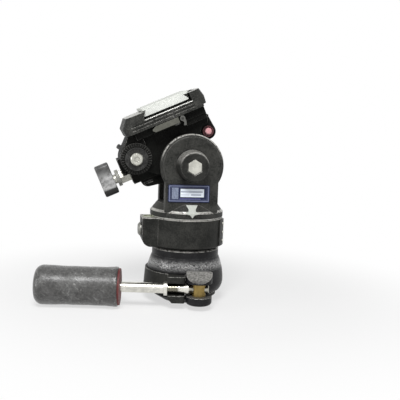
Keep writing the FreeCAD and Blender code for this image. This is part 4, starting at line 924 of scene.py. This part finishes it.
class PANTILT_OT_stage(bpy.types.Operator):
    """White floor and surroundings, soft lamps and the camera"""

    bl_idname = "pantilt.stage"
    bl_label = "Stage"

    def execute(self, context):
        settings = context.scene.pantilt_stage
        context.scene.view_settings.view_transform = "Standard"
        self.floor(context)
        self.surroundings(context)
        self.lamps(context, settings)
        self.camera(context, settings)
        return {"FINISHED"}

    def floor(self, context):
        """A pale floor that keeps a soft shadow near the head and is white beyond."""
        half_metres, near, beyond, near_glow = 6, 90, 260, 0.62
        bm = bmesh.new()
        bmesh.ops.create_grid(bm, x_segments=1, y_segments=1, size=half_metres)
        mesh = bpy.data.meshes.new("floor")
        bm.to_mesh(mesh)
        bm.free()
        paint = Paint("floor_paper", (0.82, 0.82, 0.82), 0.9)
        x, y, _ = paint.axes(paint.place())
        seen = paint.ramp(paint.bright_rays(), 0.0, 1.0)
        lit = paint.ramp(paint.reach(x, y), near, beyond, near_glow, 1.0) * seen
        glow = paint.node("Emission", None, {"Color": WHITE, "Strength": 1.0})
        shown = paint.node("MixShader", None, {0: lit, 1: Tap(paint, paint.shader.outputs[0]), 2: glow})
        paint.feed(paint.find("OUTPUT_MATERIAL").inputs["Surface"], shown)
        mesh.materials.append(paint.material)
        floor = bpy.data.objects.new("floor", mesh)
        context.scene.collection.objects.link(floor)

    def surroundings(self, context):
        """White to the camera and in reflections, and a soft even fill on matt surfaces."""
        fill = 0.2
        world = bpy.data.worlds.new("studio")
        context.scene.world = world
        world.use_nodes = True
        sky = Nodes(world.node_tree)
        background = sky.find("BACKGROUND")
        sky.feed(background.inputs["Color"], WHITE)
        sky.feed(background.inputs["Strength"], sky.ramp(sky.bright_rays(), 0.0, 1.0, fill, 1.0))

    def lamps(self, context, settings):
        """Three square lamps, each with its place, its size and its power, aimed at the head's middle."""
        middle = Vector((0, 0, 0.09))
        for name, spot, size, power in (
                ("key", (-0.14, -0.54, 0.70), 0.28, 9.6),
                ("fill", (0.45, -0.75, 0.32), 0.7, 1.2),
                ("left_strip", (-0.78, -0.25, 0.20), 0.35, 2.6)):
            light = bpy.data.lights.new(name, "AREA")
            light.shape = "SQUARE"
            light.size = size
            light.energy = power * settings.lamp
            lamp = bpy.data.objects.new(name, light)
            lamp.location = spot
            lamp.rotation_euler = (middle - Vector(spot)).to_track_quat("-Z", "Y").to_euler()
            context.scene.collection.objects.link(lamp)

    def camera(self, context, settings):
        """Looks at the badge side from a little to the left and above."""
        around, down, roll = settings.azimuth, settings.height, settings.roll
        ahead = Vector((math.sin(around) * math.cos(down), math.cos(around) * math.cos(down), -math.sin(down)))
        right = Vector((math.cos(around), -math.sin(around), 0))
        up = right.cross(ahead)
        tilted_right = right * math.cos(roll) + up * math.sin(roll)
        tilted_up = up * math.cos(roll) - right * math.sin(roll)
        aim = right * settings.aside + Vector((0, 0, settings.aim))
        lens = bpy.data.cameras.new("camera")
        lens.sensor_width = 36
        lens.lens = settings.focal / FRAME_PIXELS * lens.sensor_width
        lens.clip_start = 0.01
        camera = bpy.data.objects.new("camera", lens)
        turned = Matrix((tilted_right, tilted_up, -ahead)).transposed().to_4x4()
        camera.matrix_world = Matrix.Translation(aim - ahead * settings.distance) @ turned
        context.scene.collection.objects.link(camera)
        context.scene.camera = camera


# ---------------------------------------------------------------- panel and registration

SETTINGS = {"castings": CastingSettings, "handle": HandleSettings, "metals": MetalSettings,
            "fittings": FittingSettings, "stage": StageSettings}
OPERATORS = (PANTILT_OT_castings, PANTILT_OT_bell, PANTILT_OT_handle, PANTILT_OT_clamp, PANTILT_OT_bosses,
             PANTILT_OT_level, PANTILT_OT_badge, PANTILT_OT_knobs, PANTILT_OT_rosettes, PANTILT_OT_button,
             PANTILT_OT_platform, PANTILT_OT_stage)


class PANTILT_PT_panel(bpy.types.Panel):
    """Lists the head's pieces and their settings"""

    bl_label = "Pan and tilt head"
    bl_space_type = "VIEW_3D"
    bl_region_type = "UI"
    bl_category = "Pan Tilt"

    def draw(self, context):
        for operator in OPERATORS:
            self.layout.operator(operator.bl_idname)
        for name, group in SETTINGS.items():
            box = self.layout.box()
            box.label(text=name.capitalize())
            for setting in group.__annotations__:
                box.prop(getattr(context.scene, f"pantilt_{name}"), setting)


def register():
    for kind in (*SETTINGS.values(), *OPERATORS, PANTILT_PT_panel):
        bpy.utils.register_class(kind)
    for name, group in SETTINGS.items():
        setattr(bpy.types.Scene, f"pantilt_{name}", bpy.props.PointerProperty(type=group))


def unregister():
    for name in SETTINGS:
        delattr(bpy.types.Scene, f"pantilt_{name}")
    for kind in (PANTILT_PT_panel, *reversed(OPERATORS), *SETTINGS.values()):
        bpy.utils.unregister_class(kind)


def main():
    register()
    for operator in OPERATORS:
        group, name = operator.bl_idname.split(".")
        getattr(getattr(bpy.ops, group), name)()


if __name__ == "__main__":
    main()
